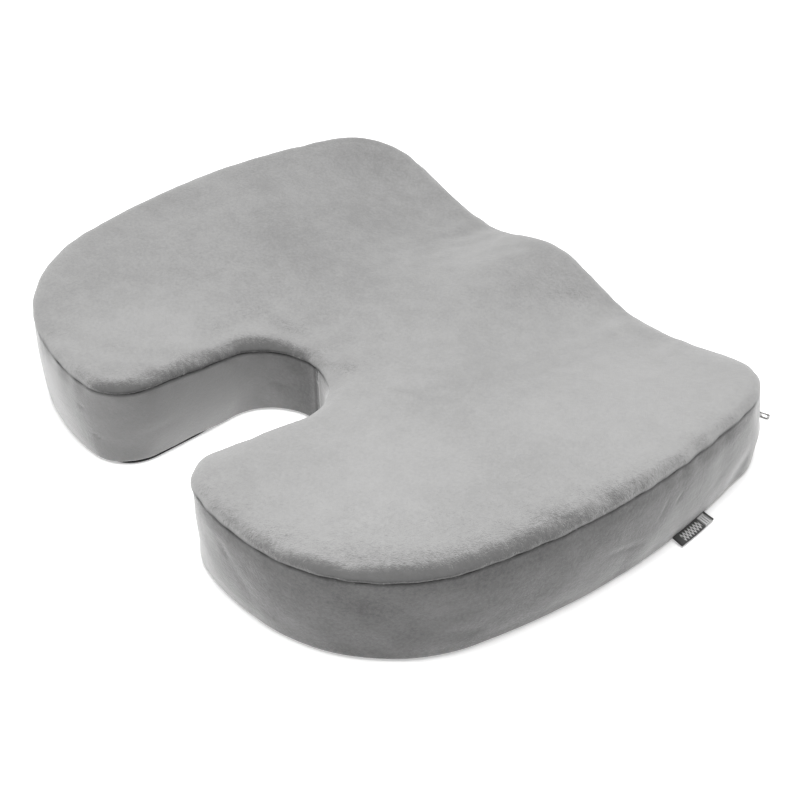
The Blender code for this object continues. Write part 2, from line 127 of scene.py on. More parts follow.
@dataclass
class Form:
    """The cushion's outline in plan and the heights of its top.

    Each corner of the right-hand half is x, y and its rounding radius.
    """

    corners: tuple[tuple[float, float, float], ...] = (
        (0.0425, -0.0445, 0.0405),
        (0.0385, -0.1735, 0.0300),
        (0.0910, -0.1790, 0.1750),
        (0.1940, -0.1630, 0.1120),
        (0.2340, 0.0030, 0.4600),
        (0.2060, 0.1750, 0.0450),
    )
    front_y: float = 0.1750
    slot_end_y: float = -0.0445
    trace_step: float = 0.00025
    corner_lean: float = 0.0050
    lean_reach: float = 0.0600
    lean_start: float = 0.0240
    side_height: float = 0.068
    dish_depth: float = 0.015
    dish_half_width: float = 0.200
    dish_fade: tuple[float, float] = (-0.040, -0.190)
    dish_left_at_back: float = 0.25
    pommel_height: float = 0.052
    groove_height: float = 0.0345
    groove_x: float = 0.078
    groove_flank_end: float = 0.250
    front_blend_start: float = -0.010
    crown: float = 0.002
    crown_reach: float = 0.012
    rim: float = 0.005

    def __post_init__(self) -> None:
        """Trace the outline once."""
        self.trace = self._trace()
        self.length = float(self.trace[-1, 0])
        self.front_corner = float(self._corner_middle)
        ring = self.edge(np.arange(0.0, 2.0 * self.length, 0.001))[0]
        self.rim_tree = KDTree(len(ring))
        for k, (x, y) in enumerate(ring):
            self.rim_tree.insert((x, y, 0.0), k)
        self.rim_tree.balance()

    def _trace(self) -> np.ndarray:
        """Walk the right-hand half.

        Returns:
            Rows of distance, x, y and the outward normal's x and y.
        """
        stops = [np.array((0.0, self.slot_end_y))]
        stops += [np.array(corner[:2]) for corner in self.corners]
        stops.append(np.array((0.0, self.front_y)))
        rows: list[np.ndarray] = []
        here, done = stops[0], 0.0
        for before, corner, after, spec in zip(stops, stops[1:], stops[2:], self.corners):
            into, out = unit(corner - before), unit(after - corner)
            turn = math.atan2(into[0] * out[1] - into[1] * out[0], float(into @ out))
            reach = spec[2] * math.tan(abs(turn) / 2.0)
            start = corner - into * reach
            done = self._walk(rows, done, here, into, float((start - here) @ into), 0.0)
            self._corner_middle = done + spec[2] * abs(turn) / 2.0
            done = self._walk(rows, done, start, into, spec[2] * abs(turn),
                              math.copysign(1.0 / spec[2], turn))
            here = corner + out * reach
        heading = unit(stops[-1] - here)
        done = self._walk(rows, done, here, heading, float((stops[-1] - here) @ heading), 0.0)
        return np.vstack(rows)

    def _walk(self, rows: list[np.ndarray], done: float, start: np.ndarray,
              heading: np.ndarray, size: float, curvature: float) -> float:
        """Add one straight run or arc to the trace.

        Args:
            rows: the trace so far, added to.
            done: distance already walked.
            start: where the run starts.
            heading: its first direction.
            size: its length.
            curvature: one over its radius, positive to the left, or 0.

        Returns:
            The distance walked after it.
        """
        if size < 1e-7:
            return done
        along = np.linspace(0.0, size, max(2, int(size / self.trace_step)))
        side = np.array((-heading[1], heading[0]))
        if curvature == 0.0:
            places = start + np.outer(along, heading)
            tangents = np.tile(heading, (len(along), 1))
        else:
            angle = along * curvature
            places = start + (np.outer(np.sin(angle), heading)
                              + np.outer(1.0 - np.cos(angle), side)) / curvature
            tangents = np.outer(np.cos(angle), heading) + np.outer(np.sin(angle), side)
        normals = np.column_stack((tangents[:, 1], -tangents[:, 0]))
        rows.append(np.column_stack((done + along, places, normals)))
        return done + size

    def edge(self, distance: np.ndarray) -> tuple[np.ndarray, np.ndarray]:
        """Read the outline.

        Args:
            distance: arc lengths from the slot's end.

        Returns:
            The places and the outward normals there.
        """
        whole = 2.0 * self.length
        walked = np.mod(distance, whole)
        left = walked > self.length
        walked = np.where(left, whole - walked, walked)
        x, y, nx, ny = (np.interp(walked, self.trace[:, 0], self.trace[:, k]) for k in range(1, 5))
        sign = np.where(left, -1.0, 1.0)
        return np.column_stack((x * sign, y)), unit(np.column_stack((nx * sign, ny)))

    def lean(self, distance: np.ndarray) -> np.ndarray:
        """How far the wall's top leans in at the front corners."""
        walked = np.mod(distance, 2.0 * self.length)
        walked = np.minimum(walked, 2.0 * self.length - walked)
        return self.corner_lean * (1.0 - ease(np.abs(walked - self.front_corner), 0.0, self.lean_reach))

    def height(self, x: np.ndarray, y: np.ndarray) -> np.ndarray:
        """Height of the rim at a place, before the crown.

        Args:
            x: distances from the middle.
            y: distances to the front.

        Returns:
            The heights above the floor.
        """
        fade = ease(y, *self.dish_fade)
        depth = self.dish_depth * (1.0 - (1.0 - self.dish_left_at_back) * fade)
        seat = self.side_height - depth * (1.0 - ease(np.abs(x), 0.0, self.dish_half_width))
        inner = self.pommel_height - (self.pommel_height - self.groove_height) * ease(
            np.abs(x), 0.0, self.groove_x)
        outer = self.groove_height + (self.side_height - self.groove_height) * ease(
            np.abs(x), self.groove_x, self.groove_flank_end)
        front = np.where(np.abs(x) < self.groove_x, inner, outer)
        share = ease(y, self.front_blend_start, self.front_y)
        return seat * (1.0 - share) + front * share

    def seam(self, distance: np.ndarray) -> tuple[np.ndarray, np.ndarray, np.ndarray]:
        """The seam between the top and the walls.

        Args:
            distance: arc lengths.

        Returns:
            Its places in plan, its heights and the outward normals.
        """
        places, normals = self.edge(distance)
        places = places - normals * self.lean(distance)[:, None]
        return places, self.height(*places.T) - self.rim, normals

    def wall(self, distance: np.ndarray, level: np.ndarray, inset: np.ndarray) -> np.ndarray:
        """Places on or behind a side wall.

        Args:
            distance: arc lengths.
            level: heights above the floor.
            inset: distances in from the wall's own face.

        Returns:
            The places.
        """
        foot, normals = self.edge(distance)
        _, seam_level, _ = self.seam(distance)
        share = np.clip((level - self.lean_start) / np.maximum(seam_level - self.lean_start, 0.004), 0.0, 1.0)
        back = inset + self.lean(distance) * share
        return np.column_stack((foot - normals * back[:, None], level))

    def crown_rise(self, inset: np.ndarray) -> np.ndarray:
        """How far the top stands above the rim, by inset."""
        return self.crown * (1.0 - np.exp(-inset / self.crown_reach))

    def insets(self, places: np.ndarray) -> np.ndarray:
        """Distance in plan from the outline, for places inside it."""
        return np.array([self.rim_tree.find((x, y, 0.0))[2] for x, y in places])

    def holds(self, places: np.ndarray) -> np.ndarray:
        """Whether each place in plan lies inside the outline."""
        ring = self.edge(np.arange(0.0, 2.0 * self.length, 0.002))[0]
        inside = np.zeros(len(places), bool)
        for start, end in zip(ring, np.roll(ring, -1, axis=0)):
            spans = (start[1] > places[:, 1]) != (end[1] > places[:, 1])
            if spans.any():
                share = (places[:, 1] - start[1]) / (end[1] - start[1])
                inside ^= spans & (places[:, 0] < start[0] + (end[0] - start[0]) * share)
        return inside

    def front_stop(self, x: float) -> float:
        """Arc length of a place on the front wall, by its distance from the middle."""
        return self.length - x


FORM = Form()


class Skin:
    """Points and faces of one mesh while it is being made."""

    def __init__(self) -> None:
        """Start empty."""
        self.points: list[np.ndarray] = []
        self.faces: list[tuple[int, ...]] = []
        self.finish: list[int] = []
        self.count = 0

    def add(self, points: np.ndarray) -> np.ndarray:
        """Add points.

        Args:
            points: an array whose last axis is x, y and z.

        Returns:
            Their numbers, in the shape of the other axes.
        """
        flat = points.reshape(-1, 3)
        self.points.append(flat)
        numbers = np.arange(self.count, self.count + len(flat))
        self.count += len(flat)
        return numbers.reshape(points.shape[:-1])

    def face(self, corners: list[int], finish: int = 0) -> None:
        """Add one face with its material's number."""
        self.faces.append(tuple(int(c) for c in corners))
        self.finish.append(finish)

    def quads(self, grid: np.ndarray, wrap: bool = False, finish: int = 0) -> None:
        """Skin a grid of points.

        Args:
            grid: point numbers by row and column.
            wrap: whether the last column joins the first.
            finish: the faces' material number.
        """
        ahead = np.roll(grid, -1, axis=1)
        last = grid.shape[1] if wrap else grid.shape[1] - 1
        first, second = grid[:-1, :last], ahead[:-1, :last]
        third, fourth = ahead[1:, :last], grid[1:, :last]
        block = np.stack((first, second, third, fourth), axis=-1).reshape(-1, 4)
        self.faces += [tuple(row) for row in block.tolist()]
        self.finish += [finish] * len(block)

    def triangles(self, corners: np.ndarray, finish: int = 0) -> None:
        """Add triangles by their point numbers."""
        self.faces += [tuple(row) for row in corners.tolist()]
        self.finish += [finish] * len(corners)

    def build(self, name: str, values: dict[str, np.ndarray] | None = None) -> bpy.types.Object:
        """Make the object.

        Args:
            name: the object's name.
            values: named numbers, one per point, that the material may read.

        Returns:
            The object, linked to the scene.
        """
        mesh = bpy.data.meshes.new(name)
        mesh.from_pydata(np.vstack(self.points).tolist(), [], self.faces)
        mesh.polygons.foreach_set("material_index", np.array(self.finish, np.int32))
        for key, numbers in (values or {}).items():
            layer = mesh.attributes.new(key, "FLOAT", "POINT")
            layer.data.foreach_set("value", np.asarray(numbers, np.float32))
        mesh.shade_smooth()
        mesh.update()
        obj = bpy.data.objects.new(name, mesh)
        bpy.context.scene.collection.objects.link(obj)
        return obj


def settle(obj: bpy.types.Object, finishes: list[bpy.types.Material], slot: Slot,
           stands_for: list[str], body: str = BODY) -> bpy.types.Object:
    """Dress a piece and tie it to the frame.

    Args:
        obj: the piece.
        finishes: its materials.
        slot: the record's slot it is finished from; not used.
        stands_for: the CAD nodes it replaces.
        body: the CAD body it moves with.

    Returns:
        The piece.
    """
    for material in finishes:
        obj.data.materials.append(material)
    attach(obj, body)
    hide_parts(*stands_for)
    LOG.info("%s: %d points, rides %s", obj.name, len(obj.data.vertices), body)
    return obj


@dataclass
class Lid:
    """A sheet that spans the outline inside a ring, laid out once and used at any height.

    Args:
        ring: places of the ring in plan.
        ring_inset: the ring's distance from the outline.
        step: spacing of the places inside it.
    """

    ring: np.ndarray
    ring_inset: float
    step: float

    def __post_init__(self) -> None:
        """Place the inner points and triangulate."""
        reach = np.abs(self.ring).max(axis=0) + self.step
        xs = np.arange(-reach[0], reach[0], self.step)
        ys = np.arange(-reach[1], reach[1], self.step * TRIANGLE_ROW)
        grid = np.stack(np.meshgrid(xs, ys), axis=-1)
        grid[1::2, :, 0] += self.step / 2.0
        places = grid.reshape(-1, 2)
        places = places[FORM.holds(places)]
        inset = FORM.insets(places)
        room = self.step * 0.6
        gap = np.full(len(places), self.step)
        near = inset < self.ring_inset + self.step * 3.0
        offsets = places[near][:, None, :] - self.ring[None, :, :]
        gap[near] = np.linalg.norm(offsets, axis=2).min(axis=1)
        clear = (inset > self.ring_inset + room) & (gap > room)
        self.inner, self.inner_inset = places[clear], inset[clear]
        count = len(self.ring)
        flat = [Vector(p) for p in np.vstack((self.ring, self.inner))]
        loop = [(k, (k + 1) % count) for k in range(count)]
        result = delaunay_2d_cdt(flat, loop, [], 1, 1e-7)
        back = np.array([origins[0] for origins in result[3]])
        self.corners = back[np.array(result[2])]

    def numbers(self, ring: np.ndarray, inner: np.ndarray, upward: bool) -> np.ndarray:
        """The triangles by a mesh's own point numbers.

        Args:
            ring: numbers of the ring's points.
            inner: numbers of the inner points.
            upward: whether the sheet faces up.

        Returns:
            Three numbers per triangle.
        """
        found = np.concatenate((ring, inner))[self.corners]
        return found if upward else found[:, ::-1]


@dataclass
class Crease:
    """A soft fold in the cover, along a line from start to end.

    Args:
        start: one end, in plan for the top, or as distance and height on a wall.
        end: the other end.
        width: distance from the fold's middle to its flank.
        depth: how far it sinks, or stands out when negative.
        bend: how far its middle bows sideways.
        dark: how much painted shade, partly squashed pile, lies in its valley, from 0 to 1.
    """

    start: tuple[float, float]
    end: tuple[float, float]
    width: float
    depth: float
    bend: float = 0.0
    dark: float = 0.3

    def _place(self, places: np.ndarray) -> tuple[np.ndarray, np.ndarray]:
        """Distance across the fold, in widths, and how much of it there is at each place along it."""
        start, run = np.array(self.start), np.array(self.end) - np.array(self.start)
        size = float(np.linalg.norm(run))
        heading = run / size
        along = (places - start) @ heading / size
        bow = self.bend * (1.0 - (2.0 * along - 1.0) ** 2)
        across = ((places - start) @ np.array((-heading[1], heading[0])) - bow) / self.width
        return across, np.clip(1.0 - (2.0 * along - 1.0) ** 2, 0.0, 1.0) ** 0.7

    def at(self, places: np.ndarray) -> np.ndarray:
        """Rise of the surface at each place; negative in the fold's valley.

        Args:
            places: pairs in the same measure as start and end.

        Returns:
            The rise at each place.
        """
        across, fade = self._place(places)
        return self.depth * fade * (0.45 * np.exp(-((across - 1.9) ** 2) / 1.4) - np.exp(-across ** 2))

    def fold_crush_and_painted_shade(self, places: np.ndarray) -> np.ndarray:
        """Painted shade in the fold's valley, partly squashed pile, from 0 to 1."""
        across, fade = self._place(places)
        return self.dark * fade * np.exp(-2.5 * across ** 2)


@dataclass
class Slack:
    """Cloth simulation of the sewn cover, held at its seams and pushed out by the foam.

    It runs on a coarse closed copy of the cover, and hands on how far the cloth moved.

    Args:
        step: spacing of the cloth's points.
        wall_rows: rows of points between the seams.
        pressure: push of the foam.
        looseness: how much larger the cloth is cut than the foam.
        frames: length of the simulation.
        cap: furthest a point may move.
        reach: how far one point's movement is spread over the finished cover.
        rim_insets: insets of the rows of points over the rim.
        low: height of the lower seam.
        rim_hold: how firmly the rows over the rim are held.
    """

    step: float = 0.0060
    wall_rows: int = 11
    pressure: float = 4.0
    looseness: float = 0.012
    frames: int = 20
    cap: float = 0.0022
    reach: float = 0.0075
    rim_insets: tuple[float, ...] = (0.0004, 0.0022, 0.0052, 0.0100, 0.0160)
    low: float = 0.0015
    rim_hold: float = 0.15

    def _body(self) -> tuple[bpy.types.Object, np.ndarray, np.ndarray]:
        """Build the coarse cover.

        Returns:
            The object, and each point's hold, from 0 for free to 1 for sewn.
        """
        count = int(2.0 * FORM.length / self.step)
        stops = np.arange(count) * (2.0 * FORM.length / count)
        skin = Skin()
        places, seam_level, normals = FORM.seam(stops)
        rows, hold = [], []
        for k in range(self.wall_rows + 1):
            share = k / self.wall_rows
            level = self.low + (seam_level - self.low) * share
            rows.append(skin.add(FORM.wall(stops, level, np.zeros(count))))
            hold.append(np.full(count, 1.0 if k in (0, self.wall_rows) else 0.0))
        for inset in self.rim_insets:
            spot = places - normals * inset
            level = TopPanel.surface(spot, places, np.full(count, inset))
            rows.append(skin.add(np.column_stack((spot, level))))
            hold.append(np.full(count, self.rim_hold))
        skin.quads(np.array(rows), wrap=True)
        ring = places - normals * self.rim_insets[-1]
        lid = Lid(ring, self.rim_insets[-1], self.step * 1.2)
        level = FORM.height(*lid.inner.T) + FORM.crown_rise(lid.inner_inset)
        inner = skin.add(np.column_stack((lid.inner, level)))
        skin.triangles(lid.numbers(rows[-1], inner, True))
        hold.append(0.2 + 0.5 * ease(lid.inner_inset, 0.015, 0.060))
        floor = Lid(FORM.edge(stops)[0], 0.0, self.step * 3.0)
        under = skin.add(np.column_stack((floor.inner, np.full(len(floor.inner), self.low))))
        skin.triangles(floor.numbers(rows[0], under, False))
        hold.append(np.ones(len(floor.inner)))
        return skin.build("cover_slack"), np.vstack(skin.points), np.concatenate(hold)

    def run(self) -> None:
        """Simulate, keep the movement of each point, and delete the coarse cover."""
        obj, rest, hold = self._body()
        moved = rest.copy()
        moved = self._simulate(obj, hold)
        shift = moved - rest
        size = np.linalg.norm(shift, axis=1, keepdims=True)
        shift *= np.tanh(size / self.cap) * self.cap / np.maximum(size, 1e-9)
        self.shift = shift
        self.tree = KDTree(len(rest))
        for k, place in enumerate(rest):
            self.tree.insert(place, k)
        self.tree.balance()
        bpy.data.objects.remove(obj, do_unlink=True)
        LOG.info("slack: furthest point moved %.2f mm, before the cap %.2f mm",
                 np.linalg.norm(shift, axis=1).max() * 1000, size.max() * 1000)

    def _simulate(self, obj: bpy.types.Object, hold: np.ndarray) -> np.ndarray:
        """Run Blender's Cloth on the coarse cover.

        Args:
            obj: the coarse cover.
            hold: each point's hold.

        Returns:
            The points' places at the end.
        """
        group = obj.vertex_groups.new(name="held")
        for weight in np.unique(hold):
            group.add([int(k) for k in np.flatnonzero(hold == weight)], float(weight), "REPLACE")
        cloth = obj.modifiers.new("cloth", "CLOTH")
        settings = cloth.settings
        settings.quality = 7
        settings.mass = 0.25
        settings.tension_stiffness = 18.0
        settings.compression_stiffness = 12.0
        settings.shear_stiffness = 8.0
        settings.bending_stiffness = 0.35
        settings.use_pressure = True
        settings.uniform_pressure_force = self.pressure
        settings.shrink_min = -self.looseness
        settings.vertex_group_mass = "held"
        settings.pin_stiffness = 1.5
        settings.effector_weights.gravity = 0.0
        cloth.point_cache.frame_end = self.frames
        scene = bpy.context.scene
        for number in range(1, self.frames + 1):
            scene.frame_set(number)
        shown = obj.evaluated_get(bpy.context.evaluated_depsgraph_get())
        mesh = shown.to_mesh()
        moved = np.zeros(len(mesh.vertices) * 3, np.float32)
        mesh.vertices.foreach_get("co", moved)
        shown.to_mesh_clear()
        scene.frame_set(1)
        return moved.reshape(-1, 3).astype(float)

    def at(self, points: np.ndarray) -> np.ndarray:
        """How far the cover moves at each place of the finished mesh.

        Args:
            points: places before the movement.

        Returns:
            The movement of each.
        """
        result = np.zeros_like(points)
        for k, place in enumerate(points):
            near = self.tree.find_n(place, 10)
            numbers = [n for _, n, _ in near]
            weights = np.array([math.exp(-(gap / self.reach) ** 2) for _, _, gap in near]) + 1e-9
            result[k] = weights @ self.shift[numbers] / weights.sum()
        return result


SLACK = Slack()
RIM_WIDTH = 0.0090
RIM_BLEND = 0.0120


@dataclass
class TopPanel:
    """The cover's contoured top, rolled over the rim into the seam.

    Its colour is painted lighter in one soft patch, painted light on the pommel's shaded right flank, with
    its middle at painted_light_patch_middle and fading out over painted_light_patch_reach.
    """

    station: float = 0.0019
    grid: float = 0.0020
    rim_width: float = RIM_WIDTH
    roll: float = 0.0009
    overhang: float = 0.0004
    thickness: float = 0.0013
    pucker_length: float = 0.0230
    pucker_depth: float = 0.00035
    sag: float = 0.00045
    arc: int = 9
    insets: tuple[float, ...] = (0.0108, 0.0128)
    painted_light_patch_middle: tuple[float, float] = (0.062, 0.147)
    painted_light_patch_reach: tuple[float, float] = (0.040, 0.030)
    creases: tuple[Crease, ...] = (
        Crease((0.0322, -0.0590), (0.0312, -0.0470), 0.0019, 0.0004, 0.0006, 0.5),
        Crease((0.0400, -0.0650), (0.0338, -0.0530), 0.0020, 0.0005, -0.0007, 0.5),
        Crease((0.0270, -0.0540), (0.0100, -0.0390), 0.0024, 0.0003, 0.0020, 0.2),
        Crease((0.0560, -0.0300), (0.0800, -0.0180), 0.0045, 0.0002, 0.0020, 0.1),
        Crease((-0.0700, 0.1300), (-0.0560, 0.1640), 0.0070, 0.0004, 0.0020, 0.0),
        Crease((0.0500, 0.1300), (0.0700, 0.1660), 0.0060, 0.0004, -0.0030, 0.0),
    )

    @staticmethod
    def surface(spot: np.ndarray, edge: np.ndarray, inset: np.ndarray) -> np.ndarray:
        """Height of the top between the seam and the flat of the top.

        Args:
            spot: places in plan.
            edge: the seam's place beside each.
            inset: each place's distance in from the seam.

        Returns:
            The heights above the floor.
        """
        share = ease(inset, 0.0, RIM_BLEND)
        level = FORM.height(*edge.T) * (1.0 - share) + FORM.height(*spot.T) * share
        across = np.clip(inset / RIM_WIDTH, 0.0, 1.0)
        return level + FORM.rim * (np.sqrt(1.0 - (1.0 - across) ** 2) - 1.0) + FORM.crown_rise(inset)

    def _profile(self) -> list[tuple[float, float]]:
        """Inset and height above the seam of each row, from inside the seam up to the rim."""
        rows = [(self.roll + 0.0012, -0.0016), (self.roll + 0.0003, -0.0004)]
        for k in range(1, 5):
            angle = -math.pi / 2.0 + math.pi / 2.0 * k / 4.0
            rows.append((self.roll - (self.roll + self.overhang) * math.cos(angle),
                         self.roll * (1.0 + math.sin(angle))))
        return rows

    def build(self) -> bpy.types.Object:
        """Make the panel.

        Returns:
            The panel as a closed sheet of its own thickness.
        """
        count = int(2.0 * FORM.length / self.station)
        stops = np.arange(count) * (2.0 * FORM.length / count)
        edge, seam_level, normals = FORM.seam(stops)
        pucker = Waves(11, self.pucker_length).at(stops[:, None])
        skin = Skin()
        outer = []
        for inset, rise in self._profile():
            spot = edge - normals * (inset + self.pucker_depth * pucker)[:, None]
            outer.append(np.column_stack((spot, seam_level + rise)))
        low = FORM.height(*edge.T) - FORM.rim + self.roll
        for k in range(1, self.arc + 1):
            angle = math.pi / 2.0 * k / self.arc
            inset = -self.overhang + (self.rim_width + self.overhang) * (1.0 - math.cos(angle))
            spot = edge - normals * (inset + self.pucker_depth * pucker * math.cos(angle))[:, None]
            deep = max(inset, 0.0)
            high = self.surface(spot, edge, np.full(count, deep))
            rolled = low + (FORM.rim - self.roll) * math.sin(angle) + FORM.crown_rise(np.array(deep))
            level = high if k == self.arc else np.maximum(rolled, 0.0)
            share = ease(np.array(inset), 0.0, self.rim_width)
            outer.append(np.column_stack((spot, level * (1.0 - share) + high * share)))
        for inset in self.insets:
            spot = edge - normals * inset
            outer.append(np.column_stack((spot, self.surface(spot, edge, np.full(count, inset)))))
        rows = np.array(outer)
        ring = rows[-1][:, :2]
        lid = Lid(ring, self.insets[-1], self.grid)
        inner = np.column_stack((lid.inner, FORM.height(*lid.inner.T) + FORM.crown_rise(lid.inner_inset)))
        rows, inner = self._relax(rows, inner, lid)
        shell_rows = rows.copy()
        fade = np.linspace(1.0, 0.0, len(rows))[:, None, None]
        shell_rows[:, :, :2] -= (normals * self.thickness)[None] * fade
        shell_rows[:, :, 2] -= self.thickness * np.linspace(0.1, 1.0, len(rows))[:, None]
        numbers, inner_numbers = skin.add(rows), skin.add(inner)
        skin.quads(numbers, wrap=True)
        skin.triangles(lid.numbers(numbers[-1], inner_numbers, True))
        below = skin.add(shell_rows[::-1])
        inner_below = skin.add(inner - np.array((0.0, 0.0, self.thickness)))
        skin.quads(below, wrap=True)
        skin.triangles(lid.numbers(below[0], inner_below, False))
        skin.quads(np.array([below[-1], numbers[0]]), wrap=True)
        # Painted shade along the seam and in the creases' valleys, partly squashed pile.
        tucked = np.zeros(skin.count)
        tucked[numbers] = 1.0 - ease(rows[:, :, 2] - seam_level, 0.0002, 0.0024)
        for crease in self.creases:
            tucked[inner_numbers] = np.maximum(tucked[inner_numbers], crease.fold_crush_and_painted_shade(inner[:, :2]))
        # The first value is painted light on the top, with a little random tone of the pile.
        return skin.build("cover_top", {"nap": self._nap_and_painted_light(np.vstack(skin.points)), "tuck": tucked})

    def _nap_and_painted_light(self, points: np.ndarray) -> np.ndarray:
        """Painted light: lighter to the right and back, darker to the left and front, one lighter patch, a
        little random tone.
        """
        across = ease(0.8 * points[:, 0] - 0.6 * points[:, 1], -0.26, 0.24)
        away = (points[:, :2] - self.painted_light_patch_middle) / self.painted_light_patch_reach
        painted_light_patch = np.exp(-(away ** 2).sum(axis=1))
        return 0.34 * across + 0.14 * painted_light_patch + 0.05 * Waves(71, 0.110).at(points[:, :2])

    def _relax(self, rows: np.ndarray, inner: np.ndarray, lid: Lid) -> tuple[np.ndarray, np.ndarray]:
        """Give the panel the cloth's movement, soft waves and creases.

        Args:
            rows: the rim's rows of points.
            inner: the points inside them.
            lid: the layout of the points inside.

        Returns:
            Both, moved.
        """
        shape = rows.shape
        points = np.vstack((rows.reshape(-1, 3), inner))
        wave = Waves(5, 0.060).at(points[:, :2]) * self.sag
        for crease in self.creases:
            wave += crease.at(points[:, :2])
        rim_fade = np.concatenate((np.repeat(np.linspace(0.0, 0.6, shape[0]), shape[1]),
                                   0.6 + 0.4 * ease(lid.inner_inset, 0.012, 0.030)))
        moved = points + SLACK.at(points)
        moved[:, 2] += wave * rim_fade
        edge_count = shape[0] * shape[1]
        return moved[:edge_count].reshape(shape), moved[edge_count:]


@dataclass
class WallPanel:
    """A side strip of the cover, from one upright seam to the next.

    Args:
        name: the piece's name.
        start: arc length of its first end.
        end: arc length of its last end.
        low: height of its lower edge.
        high: height of its upper edge, or nothing where it meets the top's seam.
        creases: folds in it, by distance and height.
    """

    name: str
    start: float
    end: float
    low: float
    high: float | None = None
    creases: tuple[Crease, ...] = ()
    station: float = 0.0019
    rows: int = 30
    roll: float = 0.0010
    foot_roll: float = 0.0022
    end_roll: float = 0.0012
    thickness: float = 0.0013
    bulge: float = 0.0007
    tucked: float = 0.0003
    tuck_up: float = 0.0003
    pucker_length: float = 0.0190
    pucker_depth: float = 0.00045

    def _section(self, foot: np.ndarray, height: np.ndarray) -> list[tuple[np.ndarray, np.ndarray]]:
        """Inset and level of each row, from the lower edge's tuck to the upper one's.

        Args:
            foot: the lower edge's height at each station.
            height: the upper edge's height at each station.

        Returns:
            A pair of arrays for each row.
        """
        low, high = foot, height
        found = []
        for k in range(5):
            angle = math.pi / 2.0 * (1.0 - k / 4.0)
            found.append((np.full_like(height, self.foot_roll * (1.0 - math.cos(angle))),
                          low + self.foot_roll * (1.0 - math.sin(angle)) * 0.8))
        bottom = found[-1][1]
        top = high - self.roll
        for k in range(1, self.rows):
            share = k / self.rows
            out = -self.bulge * math.sin(math.pi * share) ** 0.8
            found.append((np.full_like(height, out), bottom + (top - bottom) * share))
        for k in range(5):
            angle = math.pi / 2.0 * k / 4.0
            found.append((np.full_like(height, self.roll * (1.0 - math.cos(angle))),
                          top + self.roll * math.sin(angle) + self.tuck_up))
        return found

    def build(self) -> bpy.types.Object:
        """Make the strip.

        Returns:
            The strip as a closed sheet of its own thickness.
        """
        count = max(3, int((self.end - self.start) / self.station))
        stops = np.linspace(self.start, self.end, count + 1)
        edge_gap = np.minimum(stops - self.start, self.end - stops)
        tuck = self.end_roll * (1.0 - np.sqrt(np.clip(1.0 - (1.0 - np.clip(
            edge_gap / (self.end_roll * 1.8), 0.0, 1.0)) ** 2, 0.0, 1.0)))
        _, seam_level, _ = FORM.seam(stops)
        height = seam_level if self.high is None else np.full_like(stops, self.high)
        pucker = Waves(23, self.pucker_length).at(stops[:, None])
        foot = self.low + BASE_SHOWS * base_shows(stops)
        outer, tucked = [], []
        for inset, level in self._section(foot, height):
            share = np.clip((level - foot) / (height - foot), 0.0, 1.0)
            near_seam = np.exp(-(1.0 - share) * (height - foot) / 0.007)
            plan = np.column_stack((stops, level))
            rise = sum((crease.at(plan) for crease in self.creases), np.zeros_like(stops))
            rise += Waves(37, 0.050).at(plan) * 0.0004 * np.sin(np.pi * share)
            rise -= self.pucker_depth * pucker * near_seam + self.tucked * near_seam ** 2
            outer.append(FORM.wall(stops, level, inset + tuck - rise))
            # Painted shade at the upright seams and under the top seam, partly squashed pile.
            seam_crush_and_painted_shade = np.maximum(1.0 - ease(edge_gap, 0.0003, 0.0020),
                              (self.high is None) * (1.0 - ease(height - level, 0.0002, 0.0016)))
            tucked.append(np.max([seam_crush_and_painted_shade] + [crease.fold_crush_and_painted_shade(plan) for crease in self.creases], axis=0))
        rows = np.array(outer)
        shape = rows.shape
        rows = (rows.reshape(-1, 3) + SLACK.at(rows.reshape(-1, 3))).reshape(shape)
        back = np.array([FORM.wall(stops, foot + (height - foot) * share,
                                   np.full_like(stops, self.roll + self.thickness * 0.8))
                         for share in np.linspace(0.995, 0.02, 12)])
        skin = Skin()
        front_numbers, back_numbers = skin.add(rows), skin.add(back)
        skin.quads(front_numbers)
        skin.quads(back_numbers)
        skin.quads(np.array([front_numbers[-1], back_numbers[0]]))
        skin.quads(np.array([back_numbers[-1], front_numbers[0]]))
        skin.face(list(front_numbers[::-1, 0]) + list(back_numbers[::-1, 0]))
        skin.face(list(front_numbers[:, -1]) + list(back_numbers[:, -1]))
        along = np.concatenate((np.tile(stops, len(rows)), np.tile(stops, len(back))))
        tuck = np.concatenate((np.concatenate(tucked), np.zeros(back_numbers.size)))
        return skin.build(self.name, {"nap": nap_and_painted_light_tone(along), "tuck": tuck})


BASE_SHOWS = 0.0014


def base_shows(distance: np.ndarray) -> np.ndarray:
    """Where the base's edge shows under the walls, from 0 to 1, by arc length."""
    return ease(distance, 1.470, 1.492) * (1.0 - ease(distance, 1.538, 1.562))


# Painted light: arc length, reach and strength of patches painted lighter or darker, mostly lighter on the
# slot's shaded walls.
PAINTED_LIGHT_PATCHES = ((0.006, 0.040, 0.30), (1.555, 0.060, 0.72), (1.470, 0.060, 0.38), (1.633, 0.020, -0.24))


def nap_and_painted_light_tone(distance: np.ndarray) -> np.ndarray:
    """Painted light on the walls round the outline, with a little random tone of the pile.

    Args:
        distance: arc lengths.

    Returns:
        How much lighter the colour is painted, up to about 1; below 0 it is painted darker.
    """
    tone = np.zeros_like(distance)
    for middle, reach, strength in PAINTED_LIGHT_PATCHES:
        tone += strength * np.exp(-((distance - middle) / reach) ** 2)
    return tone + 0.05 * Waves(83, 0.070).at(distance[:, None])


